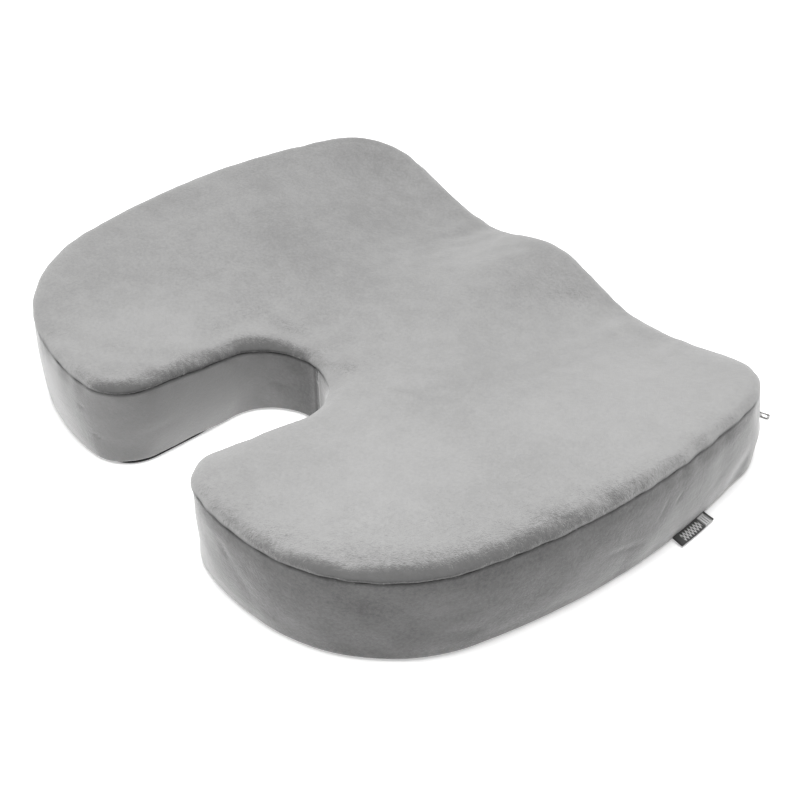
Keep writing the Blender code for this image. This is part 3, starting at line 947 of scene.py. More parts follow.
RIGHT_WALL_CREASES = (
    Crease((0.193, 0.0470), (0.204, 0.0370), 0.0018, 0.0003, 0.0006, 0.35),
    Crease((0.197, 0.0490), (0.206, 0.0400), 0.0016, 0.0002, -0.0005, 0.35),
    Crease((0.202, 0.0370), (0.222, 0.0200), 0.0040, 0.0002, 0.0012, 0.20),
    Crease((0.440, 0.0290), (0.476, 0.0205), 0.0024, 0.0003, 0.0010, 0.25),
    Crease((0.484, 0.0330), (0.494, 0.0490), 0.0018, 0.0002, -0.0008, 0.30),
    Crease((0.5000, 0.0370), (0.5060, 0.0420), 0.0017, 0.0003, 0.0006, 0.50),
    Crease((0.535, 0.0180), (0.556, 0.0300), 0.0036, 0.0001, 0.0010, 0.10),
    Crease((0.330, 0.0180), (0.362, 0.0150), 0.0050, 0.0003, 0.0010, 0.10),
)
LEFT_WALL_CREASES = (
    Crease((1.4555, 0.0415), (1.4620, 0.0398), 0.0016, 0.0004, 0.0004, 0.55),
    Crease((1.4660, 0.0215), (1.4725, 0.0188), 0.0016, 0.0004, 0.0004, 0.50),
    Crease((1.5000, 0.0220), (1.5300, 0.0240), 0.0040, 0.0003, 0.0010, 0.10),
    Crease((1.5950, 0.0250), (1.6080, 0.0200), 0.0030, 0.0003, 0.0010, 0.20),
    Crease((1.2800, 0.0350), (1.3050, 0.0260), 0.0050, 0.0004, 0.0010, 0.10),
)


@dataclass
class BasePanel:
    """The dark underside with its raised grip dots."""

    station: float = 0.0030
    grid: float = 0.0060
    thickness: float = 0.0011
    lift: float = 0.0006
    edge_inset: float = 0.0024
    dot_pitch: float = 0.0105
    dot_radius: float = 0.0016
    dot_height: float = 0.0006
    dot_margin: float = 0.0120
    dot_sides: int = 10
    ring_inset: float = 0.0090

    def build(self) -> bpy.types.Object:
        """Make the panel and its dots in one mesh."""
        count = int(2.0 * FORM.length / self.station)
        stops = np.arange(count) * (2.0 * FORM.length / count)
        edge, normals = FORM.edge(stops)
        skin = Skin()
        low, high = self.lift, self.lift + self.thickness
        section = [(0.0010, low), (0.0003, low + 0.0002), (0.0, (low + high) / 2.0), (0.0002, high - 0.0001),
                   (0.0005, high)]
        rim = self.edge_inset - (self.edge_inset - 0.0002) * base_shows(stops)
        ring = np.full(count, self.ring_inset)
        insets = [ring] + [rim + inset for inset, _ in section] + [ring]
        levels = [low] + [level for _, level in section] + [high]
        rows = np.array([np.column_stack((edge - normals * inset[:, None], np.full(count, level)))
                         for inset, level in zip(insets, levels)])
        numbers = skin.add(rows)
        skin.quads(numbers, wrap=True)
        lid = Lid(rows[0][:, :2], self.ring_inset, self.grid)
        below = skin.add(np.column_stack((lid.inner, np.full(len(lid.inner), low))))
        above = skin.add(np.column_stack((lid.inner, np.full(len(lid.inner), high))))
        skin.triangles(lid.numbers(numbers[0], below, False))
        skin.triangles(lid.numbers(numbers[-1], above, True))
        self._dots(skin, low)
        return skin.build("cover_base")

    def _dots(self, skin: Skin, low: float) -> None:
        """Add domed dots under the panel.

        Args:
            skin: the mesh to add to.
            low: height of the panel's lower face.
        """
        xs = np.arange(-0.24, 0.24, self.dot_pitch)
        ys = np.arange(-0.19, 0.19, self.dot_pitch * TRIANGLE_ROW)
        grid = np.stack(np.meshgrid(xs, ys), axis=-1)
        grid[1::2, :, 0] += self.dot_pitch / 2.0
        places = grid.reshape(-1, 2)
        places = places[FORM.holds(places)]
        places = places[FORM.insets(places) > self.dot_margin]
        count = self.dot_sides
        turns = np.arange(count) * (2.0 * np.pi / count)
        circle = np.column_stack((np.cos(turns), -np.sin(turns)))
        for x, y in places:
            rings = []
            for share in (0.0, 0.45, 0.8):
                size = self.dot_radius * math.sqrt(1.0 - share ** 2)
                level = low + 0.0001 - (self.dot_height + 0.0001) * share
                rings.append(skin.add(np.column_stack((circle * size + (x, y), np.full(count, level)))))
            tip = skin.add(np.array([[x, y, low - self.dot_height]]))
            skin.quads(np.array(rings), wrap=True, finish=1)
            last = rings[-1]
            fan = [(last[k], last[(k + 1) % count], tip[0]) for k in range(count)]
            skin.triangles(np.array(fan), finish=1)
            skin.face(list(rings[0][::-1]), finish=1)


@dataclass
class FoamBlock:
    """The contoured foam inside the cover."""

    inset: float = 0.0062
    station: float = 0.0050
    grid: float = 0.0060
    under: float = 0.0022
    lid_gap: float = 0.0050
    edge: float = 0.0040

    def build(self) -> bpy.types.Object:
        """Make the block, softly broken at its edges."""
        count = int(2.0 * FORM.length / self.station)
        stops = np.arange(count) * (2.0 * FORM.length / count)
        seam, seam_level, normals = FORM.seam(stops)
        foot, foot_normals = FORM.edge(stops)
        skin = Skin()
        rows = []
        for k in range(4):
            angle = math.pi / 2.0 * k / 3.0
            inset = self.inset + self.edge * (1.0 - math.sin(angle))
            rows.append(np.column_stack((foot - foot_normals * inset,
                                         np.full(count, self.under + self.edge * (1.0 - math.cos(angle))))))
        for share in (0.25, 0.5, 0.75, 1.0):
            level = rows[3][:, 2] * (1.0 - share) + (seam_level - 0.002) * share
            rows.append(FORM.wall(stops, level, np.full(count, self.inset)))
        for inset, drop in ((0.0080, 0.0034), (0.0110, 0.0012), (0.0150, 0.0)):
            spot = seam - normals * inset
            level = FORM.height(*spot.T) + FORM.crown_rise(np.full(count, inset)) - self.lid_gap - drop
            rows.append(np.column_stack((spot, level)))
        grid = skin.add(np.array(rows))
        skin.quads(grid, wrap=True)
        lid = Lid(rows[-1][:, :2], 0.0150, self.grid)
        level = FORM.height(*lid.inner.T) + FORM.crown_rise(lid.inner_inset) - self.lid_gap
        top = skin.add(np.column_stack((lid.inner, level)))
        skin.triangles(lid.numbers(grid[-1], top, True))
        floor = Lid(rows[0][:, :2], self.inset + self.edge, self.grid * 2.0)
        base = skin.add(np.column_stack((floor.inner, np.full(len(floor.inner), self.under))))
        skin.triangles(floor.numbers(grid[0], base, False))
        return skin.build("foam_block")


@dataclass
class StitchRow:
    """A row of single stitches, each a short thread that arches between two needle holes.

    Args:
        name: the piece's name.
        stands_for: the CAD thread it replaces.
        length: length of a stitch.
        gap: space to the next stitch.
        radius: half the thread's thickness.
        rise: how far a stitch's middle stands above its ends.
        sides: how many flats its section has.
    """

    name: str
    stands_for: str
    length: float = 0.0031
    gap: float = 0.0008
    radius: float = 0.00035
    rise: float = 0.00018
    sides: int = 6

    def build(self, centres: np.ndarray, along: np.ndarray, out: np.ndarray) -> bpy.types.Object:
        """Make the row.

        Args:
            centres: the stitches' middles.
            along: direction of each stitch.
            out: direction away from the cloth at each stitch.

        Returns:
            All the stitches as one piece.
        """
        along, out = unit(along), unit(out)
        side = np.cross(along, out)
        shares = np.array((-1.0, -0.72, 0.0, 0.72, 1.0))
        swell = np.array((0.35, 0.85, 1.0, 0.85, 0.35)) * self.radius
        lift = self.rise * (1.0 - shares ** 2) - self.radius * 0.6 * shares ** 4
        turns = np.arange(self.sides) * (2.0 * np.pi / self.sides)
        spine = centres[:, None] + along[:, None] * (shares * self.length / 2.0)[None, :, None]
        spine = spine + out[:, None] * lift[None, :, None]
        ring = (side[:, None] * np.cos(turns)[None, :, None] + out[:, None] * np.sin(turns)[None, :, None])
        tube = spine[:, :, None] + ring[:, None] * swell[None, :, None, None]
        skin = Skin()
        numbers = skin.add(tube)
        for stitch in numbers:
            skin.quads(stitch, wrap=True)
            skin.face(list(stitch[0][::-1]))
            skin.face(list(stitch[-1]))
        return settle(skin.build(self.name), [ThreadFinish().material()], Slot.THREAD, [self.stands_for])

    def round_the_outline(self, start: float, end: float, inset: float, level: float,
                          from_seam: bool) -> bpy.types.Object:
        """Sew along the outline.

        Args:
            start: first arc length.
            end: last arc length.
            inset: the row's inset.
            level: its height, above the floor or from the top seam.
            from_seam: whether the level is from the top seam.

        Returns:
            The row.
        """
        count = int((end - start) / (self.length + self.gap))
        stops = start + (np.arange(count) + 0.5) * (end - start) / count
        levels = np.full(count, level)
        if from_seam:
            levels = FORM.seam(stops)[1] + level
        centres = FORM.wall(stops, levels, np.full(count, inset))
        ahead = FORM.wall(stops + 0.0005, levels, np.full(count, inset))
        _, normals = FORM.edge(stops)
        out = np.column_stack((normals, np.zeros(count)))
        return self.build(centres, ahead - centres, out)

    def upright(self, distance: float, inset: float, low: float) -> bpy.types.Object:
        """Sew up a wall.

        Args:
            distance: the row's arc length.
            inset: its inset.
            low: height of its lower end.

        Returns:
            The row.
        """
        high = float(FORM.seam(np.array([distance]))[1][0]) - 0.001
        count = int((high - low) / (self.length + self.gap))
        levels = low + (np.arange(count) + 0.5) * (high - low) / count
        stops = np.full(count, distance)
        centres = FORM.wall(stops, levels, np.full(count, inset))
        ahead = FORM.wall(stops, levels + 0.0005, np.full(count, inset))
        _, normals = FORM.edge(stops)
        return self.build(centres, ahead - centres, np.column_stack((normals, np.zeros(count))))


@dataclass
class Plate:
    """A flat metal plate with softened edges and holes.

    Args:
        outline: its outer loop, in order, as pairs.
        holes: loops of its holes.
        low: lower face along the thickness.
        high: upper face.
        bevel: width of the softened edge.
    """

    outline: np.ndarray
    holes: list[np.ndarray]
    low: float
    high: float
    bevel: float = 0.00018

    @staticmethod
    def _inward(loop: np.ndarray, size: float) -> np.ndarray:
        """Offset a loop to the left of its direction."""
        into = unit(loop - np.roll(loop, 1, axis=0))
        out = unit(np.roll(loop, -1, axis=0) - loop)
        left = unit(np.column_stack((-(into + out)[:, 1], (into + out)[:, 0])))
        spread = np.maximum(np.abs((into * out).sum(axis=1)), 0.5)
        return loop + left * (size / np.sqrt(spread))[:, None]

    def add_to(self, skin: Skin, origin: np.ndarray) -> None:
        """Add the plate to a mesh; its plane is x-z and its thickness lies along y.

        Args:
            skin: the mesh.
            origin: the plate's own origin.
        """
        loops = [self.outline] + self.holes
        caps: dict[float, list[np.ndarray]] = {self.low: [], self.high: []}
        flat: list[np.ndarray] = []
        for loop in loops:
            small = self._inward(loop, self.bevel)
            flat.append(small)
            rings = []
            for pair, level in ((small, self.low), (loop, self.low + self.bevel),
                                (loop, self.high - self.bevel), (small, self.high)):
                ring = np.column_stack((pair[:, 0], np.full(len(pair), level), pair[:, 1])) + origin
                rings.append(skin.add(ring))
            skin.quads(np.array(rings)[::-1], wrap=True)
            caps[self.low].append(rings[0])
            caps[self.high].append(rings[-1])
        edges, begin = [], 0
        for loop in flat:
            edges += [(begin + k, begin + (k + 1) % len(loop)) for k in range(len(loop))]
            begin += len(loop)
        result = delaunay_2d_cdt([Vector(p) for p in np.vstack(flat)], edges, [], 1, 1e-9)
        centre_faces = [face for face in result[2] if self._keeps(np.array([result[0][i] for i in face]))]
        back = np.array([origins[0] for origins in result[3]])
        corners = back[np.array(centre_faces)]
        skin.triangles(np.concatenate(caps[self.low])[corners])
        skin.triangles(np.concatenate(caps[self.high])[corners][:, ::-1])

    def _keeps(self, triangle: np.ndarray) -> bool:
        """Whether a triangle of the layout is metal and not a hole."""
        middle = triangle.mean(axis=0)
        for hole in self.holes:
            after = np.roll(hole, -1, axis=0)
            spans = (hole[:, 1] > middle[1]) != (after[:, 1] > middle[1])
            rise = np.where(after[:, 1] == hole[:, 1], 1.0, after[:, 1] - hole[:, 1])
            cross = hole[:, 0] + (after[:, 0] - hole[:, 0]) * (middle[1] - hole[:, 1]) / rise
            if (spans & (middle[0] < cross)).sum() % 2 == 1:
                return False
        return True


def rounded_loop(corners: list[tuple[float, float, float]], steps: int = 5) -> np.ndarray:
    """A closed loop with rounded corners.

    Args:
        corners: x, z and rounding radius of each corner, anticlockwise.
        steps: points on each rounding.

    Returns:
        The loop's points.
    """
    places = np.array([corner[:2] for corner in corners])
    found = []
    for k, (_, _, radius) in enumerate(corners):
        into = unit(places[k] - places[k - 1])
        out = unit(places[(k + 1) % len(places)] - places[k])
        turn = math.atan2(into[0] * out[1] - into[1] * out[0], float(into @ out))
        reach = radius * math.tan(abs(turn) / 2.0)
        start, end = places[k] - into * reach, places[k] + out * reach
        for share in np.linspace(0.0, 1.0, steps):
            first = start * (1.0 - share) + places[k] * share
            second = places[k] * (1.0 - share) + end * share
            found.append(first * (1.0 - share) + second * share)
    return np.array(found)


@dataclass
class Zip:
    """The front zip: tapes, coils of teeth, stops, topstitching, slider and pull."""

    level: float = 0.0115
    tape_end: float = 0.1790
    tape_inset: tuple[float, float] = (0.0019, 0.0024)
    tape_near: float = 0.0008
    tape_far: tuple[float, float] = (0.0104, 0.0089)
    coil_span: tuple[float, float] = (0.1748, -0.1605)
    tooth_pitch: float = 0.0014
    tooth_radius: float = 0.00030
    stitch_offset: float = 0.0059
    slider_x: float = 0.1700
    slider_length: float = 0.0095
    nose: float = 0.0038
    tail: float = 0.0028
    plate: float = 0.0011
    back_plate: float = 0.0034
    bail_reach: float = 0.0034
    bail_rise: float = 0.0028
    bail_width: float = 0.0016
    bail_wall: float = 0.0008
    pull_out: float = 0.0021
    pull_length: float = 0.0240
    pull_half_width: float = 0.0026
    pull_thickness: float = 0.0009
    pull_turn: float = math.radians(18.0)
    stop_brightness: float = 0.42
    slider_brightness: float = 0.50
    pull_brightness: float = 0.58

    def build(self) -> None:
        """Make and dress every part of the zip."""
        for name, sign, far in (("upper", 1.0, self.tape_far[0]), ("lower", -1.0, self.tape_far[1])):
            self._tape(name, sign, far)
            self._coil(name, sign)
            row = StitchRow("zip_topstitch_" + name, "zip_thread_" + name, radius=0.00036)
            row.round_the_outline(FORM.front_stop(self.tape_end), FORM.front_stop(-self.tape_end),
                                  -0.00010, self.level + sign * self.stitch_offset, False)
        self._slider()
        self._pull()
        metal = MetalFinish(self.stop_brightness).material()
        for name in ("zip_closed_stop_upper", "zip_closed_stop_lower", "zip_open_stop"):
            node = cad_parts[name]
            node.data.materials.clear()
            node.data.materials.append(metal)
            soften = node.modifiers.new("soften", "BEVEL")
            soften.width = 0.0002
            soften.segments = 2
            LOG.info("%s: CAD part kept", name)

    def _tape(self, name: str, sign: float, far: float) -> None:
        """Make one woven tape.

        Args:
            name: upper or lower.
            sign: 1 above the teeth, -1 below.
            far: distance of its far edge from the teeth's middle.
        """
        stops = np.linspace(FORM.front_stop(self.tape_end), FORM.front_stop(-self.tape_end), 180)
        count = len(stops)
        near_side, far_side = self.tape_inset
        section = [(near_side, self.tape_near), (near_side, far), (far_side, far), (far_side, self.tape_near)]
        path = []
        for (inset, across), (inset_b, across_b) in zip(section, section[1:] + section[:1]):
            for share in np.linspace(0.0, 1.0, 6)[:-1]:
                level = self.level + sign * (across * (1.0 - share) + across_b * share)
                deep = inset * (1.0 - share) + inset_b * share
                path.append(FORM.wall(stops, np.full(count, level), np.full(count, deep)))
        skin = Skin()
        rows = skin.add(np.array(path if sign > 0 else path[::-1]))
        skin.quads(np.vstack((rows, rows[:1])))
        skin.face(list(rows[::-1, 0]))
        skin.face(list(rows[:, -1]))
        tape = skin.build("zip_woven_tape_" + name)
        settle(tape, [TapeFinish().material()], Slot.TAPE, ["zip_tape_" + name])

    def _coil(self, name: str, sign: float) -> None:
        """Make one row of coil teeth.

        Args:
            name: upper or lower.
            sign: 1 above the middle, -1 below.
        """
        first, last = (FORM.front_stop(x) for x in self.coil_span)
        count = int((last - first) / self.tooth_pitch)
        stops = first + (np.arange(count) + (0.25 if sign > 0 else 0.75)) * (last - first) / count
        hook = [(2.55, 0.0, 1.20), (2.40, 0.0, 0.66), (1.60, 0.02, 0.62), (0.95, 0.10, 0.62),
                (0.70, 0.18, 0.80), (0.70, 0.26, 1.02), (0.95, 0.34, 1.22), (1.60, 0.42, 1.26),
                (2.40, 0.48, 1.26)]
        turns = np.arange(6) * (2.0 * np.pi / 6)
        skin = Skin()
        bends = [FORM.wall(stops + shift * self.tooth_pitch,
                           np.full(count, self.level + sign * across * MM), np.full(count, deep * MM))
                 for across, shift, deep in hook]
        line = np.array(bends).transpose(1, 0, 2)
        heading = unit(np.gradient(line, axis=1))
        side = unit(np.cross(heading, np.array((0.30, 0.95, 0.05))))
        other = np.cross(heading, side)
        ring = (side[:, :, None] * np.cos(turns)[None, None, :, None]
                + other[:, :, None] * np.sin(turns)[None, None, :, None])
        tube = line[:, :, None] + ring * self.tooth_radius
        for tooth in skin.add(tube):
            skin.quads(tooth, wrap=True)
            skin.face(list(tooth[0][::-1]))
            skin.face(list(tooth[-1]))
        settle(skin.build("zip_teeth_" + name), [CoilFinish().material()], Slot.COIL, ["zip_coil_" + name])

    def _slider(self) -> None:
        """Make the slider: two plates, the post between them and the bail."""
        half = self.slider_length / 2.0
        origin = np.array((self.slider_x, FORM.front_y, self.level))
        corners = [(-half, -self.tail, 0.0007), (half * 0.1, -self.nose, 0.0016),
                   (half, -self.nose * 0.72, 0.0014), (half, self.nose * 0.72, 0.0014),
                   (half * 0.1, self.nose, 0.0016), (-half, self.tail, 0.0007)]
        loop = rounded_loop(corners)
        skin = Skin()
        Plate(loop, [], 0.0001, self.plate, 0.00028).add_to(skin, origin)
        Plate(loop, [], -self.back_plate - 0.0008, -self.back_plate, 0.00022).add_to(skin, origin)
        post = rounded_loop([(half * 0.2, -0.00028, 0.0001), (half * 0.9, -0.00028, 0.0001),
                             (half * 0.9, 0.00028, 0.0001), (half * 0.2, 0.00028, 0.0001)], 3)
        Plate(post, [], -self.back_plate - 0.0002, 0.0004, 0.00005).add_to(skin, origin)
        self._bail(skin, origin)
        metal = MetalFinish(self.slider_brightness).material()
        settle(skin.build("zip_slider"), [metal], Slot.METAL, ["zip_slider_body"], "zip_slider")

    def _bail(self, skin: Skin, origin: np.ndarray) -> None:
        """Add the arched bail over the pull's bar.

        Args:
            skin: the slider's mesh.
            origin: the slider's middle.
        """
        middle = self.bail_wall / 2.0
        crest = self.plate + self.bail_rise - middle
        reach = self.bail_reach - middle
        foot = self.plate * 0.5
        path = []
        for angle in np.linspace(math.pi, 0.0, 15):
            spread = math.copysign(abs(math.cos(angle)) ** 0.45, math.cos(angle))
            path.append((reach * spread, foot + (crest - foot) * math.sin(angle) ** 0.45))
        line = np.array(path)
        heading = unit(np.gradient(line, axis=0))
        out = np.column_stack((-heading[:, 1], heading[:, 0]))
        half_width = self.bail_width / 2.0
        section = rounded_loop([(-middle, -half_width, 0.0002), (middle, -half_width, 0.0002),
                                (middle, half_width, 0.0002), (-middle, half_width, 0.0002)], 3)
        rings = [np.column_stack((place[0] + normal[0] * section[:, 0], place[1] + normal[1] * section[:, 0],
                                  section[:, 1])) + origin for place, normal in zip(line, out)]
        numbers = skin.add(np.array(rings))
        skin.quads(numbers[::-1], wrap=True)
        skin.face(list(numbers[0]))
        skin.face(list(numbers[-1][::-1]))

    def _pull(self) -> None:
        """Make the pull: a flat tab with a window for the bail and a slot near its end."""
        half = self.pull_thickness / 2.0
        width = self.pull_half_width
        origin = np.array((self.slider_x, FORM.front_y + self.pull_out, self.level))
        length = self.pull_length
        outline = rounded_loop([(-half, -width * 0.80, 0.0004), (length * 0.22, -width * 0.80, 0.0030),
                                (length * 0.36, -width, 0.0030), (length, -width, width * 0.97),
                                (length, width, width * 0.97), (length * 0.36, width, 0.0030),
                                (length * 0.22, width * 0.80, 0.0030), (-half, width * 0.80, 0.0004)], 7)
        room = self.bail_width / 2.0 + 0.0005
        window_end = self.bail_reach + 0.0010
        window = rounded_loop([(half, room, 0.0003), (window_end, room, 0.0005),
                               (window_end, -room, 0.0005), (half, -room, 0.0003)], 4)
        start, end, slim = length * 0.76, length * 0.93, width * 0.42
        opening = rounded_loop([(start, slim, slim * 0.95), (end, slim, slim * 0.95),
                                (end, -slim, slim * 0.95), (start, -slim, slim * 0.95)], 7)
        skin = Skin()
        Plate(outline, [window, opening], -half, half, 0.00020).add_to(skin, np.zeros(3))
        cosine, sine = math.cos(self.pull_turn), math.sin(self.pull_turn)
        turn = np.array(((cosine, -sine, 0.0), (sine, cosine, 0.0), (0.0, 0.0, 1.0)))
        skin.points = [points @ turn.T + origin for points in skin.points]
        metal = MetalFinish(self.pull_brightness).material()
        settle(skin.build("zip_pull"), [metal], Slot.METAL, ["zip_pull_tab"], "zip_pull")


@dataclass
class WovenLabel:
    """The folded woven label in the right-hand side's lower seam."""

    middle_y: float = 0.074
    length: float = 0.032
    reach: float = 0.0085
    droop: float = 0.0022
    low: float = 0.0005
    gap: float = 0.00045
    layer: float = 0.00040
    curl: float = 0.0009
    columns: int = 28

    def build(self) -> None:
        walked = np.arange(0.0, FORM.length, 0.0005)
        places, _ = FORM.edge(walked)
        side = (places[:, 0] > 0.2) & (walked > 0.1)
        middle = float(walked[side][np.argmin(np.abs(places[side, 1] - self.middle_y))])
        stops = middle + np.linspace(-0.5, 0.5, self.columns) * self.length
        radius = self.gap / 2.0 + self.layer
        outs = np.linspace(-0.0003, self.reach - radius, 11)
        path = [(out, -radius) for out in outs]
        for angle in np.linspace(-math.pi / 2.0, math.pi / 2.0, 7)[1:-1]:
            path.append((self.reach - radius + radius * math.cos(angle), radius * math.sin(angle)))
        path += [(out, radius) for out in outs[::-1]]
        line = np.array(path)
        heading = unit(np.gradient(line, axis=0))
        normal = np.column_stack((-heading[:, 1], heading[:, 0]))
        walk = np.concatenate(([0.0], np.cumsum(np.linalg.norm(np.diff(line, axis=0), axis=1))))
        centre = self.low + radius
        share_along = (stops - stops[0]) / self.length
        outer_rows, inner_rows = [], []
        for (out, rise), (nx, nz) in zip(line, normal):
            lift = self.curl * (out / self.reach) ** 2 * (0.35 + 1.2 * (share_along - 0.45) ** 2
                                                         + 0.15 * np.sin(share_along * 9.0))
            lift = lift + self.droop * (1.0 - out / self.reach)
            outer_rows.append(self._row(stops, out, centre + rise, lift))
            inner_rows.append(self._row(stops, out + nx * self.layer, centre + rise + nz * self.layer, lift))
        skin = Skin()
        outer, inner = skin.add(np.array(outer_rows)), skin.add(np.array(inner_rows))
        skin.quads(outer[::-1])
        skin.quads(inner)
        skin.quads(np.array([outer[0], inner[0]])[::-1])
        skin.quads(np.array([inner[-1], outer[-1]])[::-1])
        skin.quads(np.array([outer[:, 0], inner[:, 0]]))
        skin.quads(np.array([inner[:, -1], outer[:, -1]]))
        along = np.tile(np.tile(share_along, len(line)), 2)
        across = np.tile(np.repeat(walk / walk[-1], len(stops)), 2)
        label = skin.build("side_label_woven", {"label_along": along, "label_across": across})
        settle(label, [LabelFinish().material()], Slot.LABEL, ["side_label"])

    @staticmethod
    def _row(stops: np.ndarray, out: float, level: float, lift: np.ndarray) -> np.ndarray:
        """One row of the label's points, carried along the wall's foot."""
        count = len(stops)
        places = FORM.wall(stops, np.full(count, level), np.full(count, -out))
        places[:, 2] += lift
        return places


class Graph:
    """The nodes of a material or a group, made and joined in few words."""

    def __init__(self, tree: bpy.types.NodeTree) -> None:
        """Work in one node tree."""
        self.tree = tree

    def node(self, kind: str, inputs: dict[str | int, object] | None = None,
             **settings: object) -> bpy.types.Node:
        """Add a node.

        Args:
            kind: Blender's name of its type, without ShaderNode.
            inputs: values or sockets for its inputs, by name or number.
            settings: its properties.

        Returns:
            The node.
        """
        made = self.tree.nodes.new("ShaderNode" + kind)
        for key, value in settings.items():
            setattr(made, key, value)
        for key, value in (inputs or {}).items():
            if isinstance(value, bpy.types.NodeSocket):
                self.tree.links.new(value, made.inputs[key])
            else:
                made.inputs[key].default_value = value
        return made

    def math(self, operation: str, first: object, second: object = 0.0, clamp: bool = False) -> Socket:
        """One step of arithmetic; returns its result."""
        return self.node("Math", {0: first, 1: second}, operation=operation, use_clamp=clamp).outputs[0]

    def blend(self, share: object, first: object, second: object, kind: str = "MIX") -> Socket:
        """Mix two colours; returns the mixed colour."""
        made = self.node("Mix", {0: share, 6: first, 7: second}, data_type="RGBA", blend_type=kind)
        return made.outputs[2]

    def span(self, value: object, low: float, high: float, to_low: float = 0.0,
             to_high: float = 1.0) -> Socket:
        """Stretch a value from one range onto another, with soft ends; returns the new value."""
        made = self.node("MapRange", {0: value, 1: low, 2: high, 3: to_low, 4: to_high},
                         interpolation_type="SMOOTHSTEP")
        return made.outputs[0]

    def noise(self, place: Socket, scale: object, detail: float = 2.0, roughness: float = 0.5) -> Socket:
        """Soft noise; returns its value."""
        made = self.node("TexNoise", {"Vector": place, "Scale": scale, "Detail": detail,
                                      "Roughness": roughness})
        return made.outputs[0]

    def dress(self, shader: bpy.types.Node, colour: Socket, rough: Socket, height: Socket | None = None,
              strength: float = 0.0, distance: float = 0.0) -> None:
        """Join a finish's colour, roughness and relief to its shader.

        Args:
            shader: the material's shader.
            colour: its colour.
            rough: its roughness.
            height: its relief, if it has any.
            strength: how strongly the relief shows.
            distance: depth of the relief.
        """
        self.tree.links.new(colour, shader.inputs["Base Color"])
        self.tree.links.new(rough, shader.inputs["Roughness"])
        if height is not None:
            bump = self.node("Bump", {"Height": height, "Strength": strength, "Distance": distance})
            self.tree.links.new(bump.outputs[0], shader.inputs["Normal"])


def grey(value: float, warmth: float = 0.0) -> tuple[float, float, float, float]:
    """A grey of a given brightness, a little warmer or cooler."""
    return (value * (1.0 + warmth), value, value * (1.0 - warmth), 1.0)


def new_group(name: str, takes: dict[str, tuple[str, float]],
              gives: dict[str, str]) -> tuple[bpy.types.NodeTree, Graph, bpy.types.Node, bpy.types.Node]:
    """Start a node group.

    Args:
        name: the group's name.
        takes: its inputs, each with its socket type and first value.
        gives: its outputs with their socket types.

    Returns:
        The group, its graph, and its input and output nodes.
    """
    group = bpy.data.node_groups.new(name, "ShaderNodeTree")
    for key, (kind, value) in takes.items():
        socket = group.interface.new_socket(name=key, in_out="INPUT", socket_type="NodeSocket" + kind)
        if kind == "Float":
            socket.default_value = value
    for key, kind in gives.items():
        group.interface.new_socket(name=key, in_out="OUTPUT", socket_type="NodeSocket" + kind)
    return group, Graph(group), group.nodes.new("NodeGroupInput"), group.nodes.new("NodeGroupOutput")


def make_pile_group() -> bpy.types.NodeTree:
    """Brushed pile: blotches where it lies differently, fine tufts and a few dark flecks.

    Returns:
        A group that takes the sizes of its marks, and gives a tone and a height.
    """
    group, graph, into, out = new_group(
        "Pile",
        {"Blotch Scale": ("Float", 16.0), "Streak": ("Float", 1.0), "Tuft Scale": ("Float", 1400.0),
         "Fleck Amount": ("Float", 0.5)},
        {"Tone": "Float", "Height": "Float", "Fringe": "Float"})
    place = graph.node("TexCoord").outputs["Object"]
    stretch = graph.node("CombineXYZ", {0: 1.0, 1: 1.0, 2: into.outputs["Streak"]}).outputs[0]
    brushed = graph.node("VectorMath", {0: place, 1: stretch}, operation="MULTIPLY").outputs[0]
    large = graph.noise(brushed, into.outputs["Blotch Scale"], 3.0, 0.55)
    middle_scale = graph.math("MULTIPLY", into.outputs["Blotch Scale"], 5.3)
    middle = graph.noise(brushed, middle_scale, 3.0, 0.6)
    small = graph.noise(place, 460.0, 2.0, 0.7)
    fringe = graph.noise(place, 330.0, 3.0, 0.75)
    tufts = graph.noise(place, into.outputs["Tuft Scale"], 2.0, 0.7)
    flecks = graph.span(graph.noise(place, 95.0, 3.0, 0.65), 0.30, 0.20)
    tone = graph.math("ADD", graph.math("MULTIPLY", large, 0.34), graph.math("MULTIPLY", middle, 0.26))
    tone = graph.math("ADD", tone, graph.math("MULTIPLY", small, 0.40))
    tone = graph.math("SUBTRACT", tone, graph.math("MULTIPLY", flecks, into.outputs["Fleck Amount"]))
    height = graph.math("ADD", graph.math("MULTIPLY", tufts, 0.55), graph.math("MULTIPLY", small, 0.45))
    height = graph.math("ADD", height, graph.math("MULTIPLY", middle, 0.6))
    group.links.new(tone, out.inputs["Tone"])
    group.links.new(height, out.inputs["Height"])
    group.links.new(fringe, out.inputs["Fringe"])
    return group


def make_weave_group() -> bpy.types.NodeTree:
    """Plain weave: threads over and under each other.

    Returns:
        A group that takes a place and the threads per metre, and gives a height and a thread tone.
    """
    group, graph, into, out = new_group(
        "Weave",
        {"Vector": ("Vector", 0.0), "Warp Per Metre": ("Float", 2000.0), "Weft Per Metre": ("Float", 2000.0)},
        {"Height": "Float", "Tone": "Float"})
    parts = graph.node("SeparateXYZ", {0: into.outputs["Vector"]})
    waves = []
    for number, key in enumerate(("Warp Per Metre", "Weft Per Metre")):
        pitch = graph.math("MULTIPLY", into.outputs[key], math.pi)
        waves.append(graph.math("SINE", graph.math("MULTIPLY", parts.outputs[number], pitch)))
    over = graph.math("MULTIPLY", *waves)
    ridges = graph.math("MULTIPLY", *(graph.math("ABSOLUTE", wave) for wave in waves))
    height = graph.math("ADD", graph.math("MULTIPLY", over, 0.35), ridges)
    fuzz = graph.noise(into.outputs["Vector"], 900.0, 3.0, 0.6)
    tone = graph.math("ADD", graph.math("MULTIPLY", ridges, 0.6), graph.math("MULTIPLY", fuzz, 0.5))
    group.links.new(height, out.inputs["Height"])
    group.links.new(tone, out.inputs["Tone"])
    return group


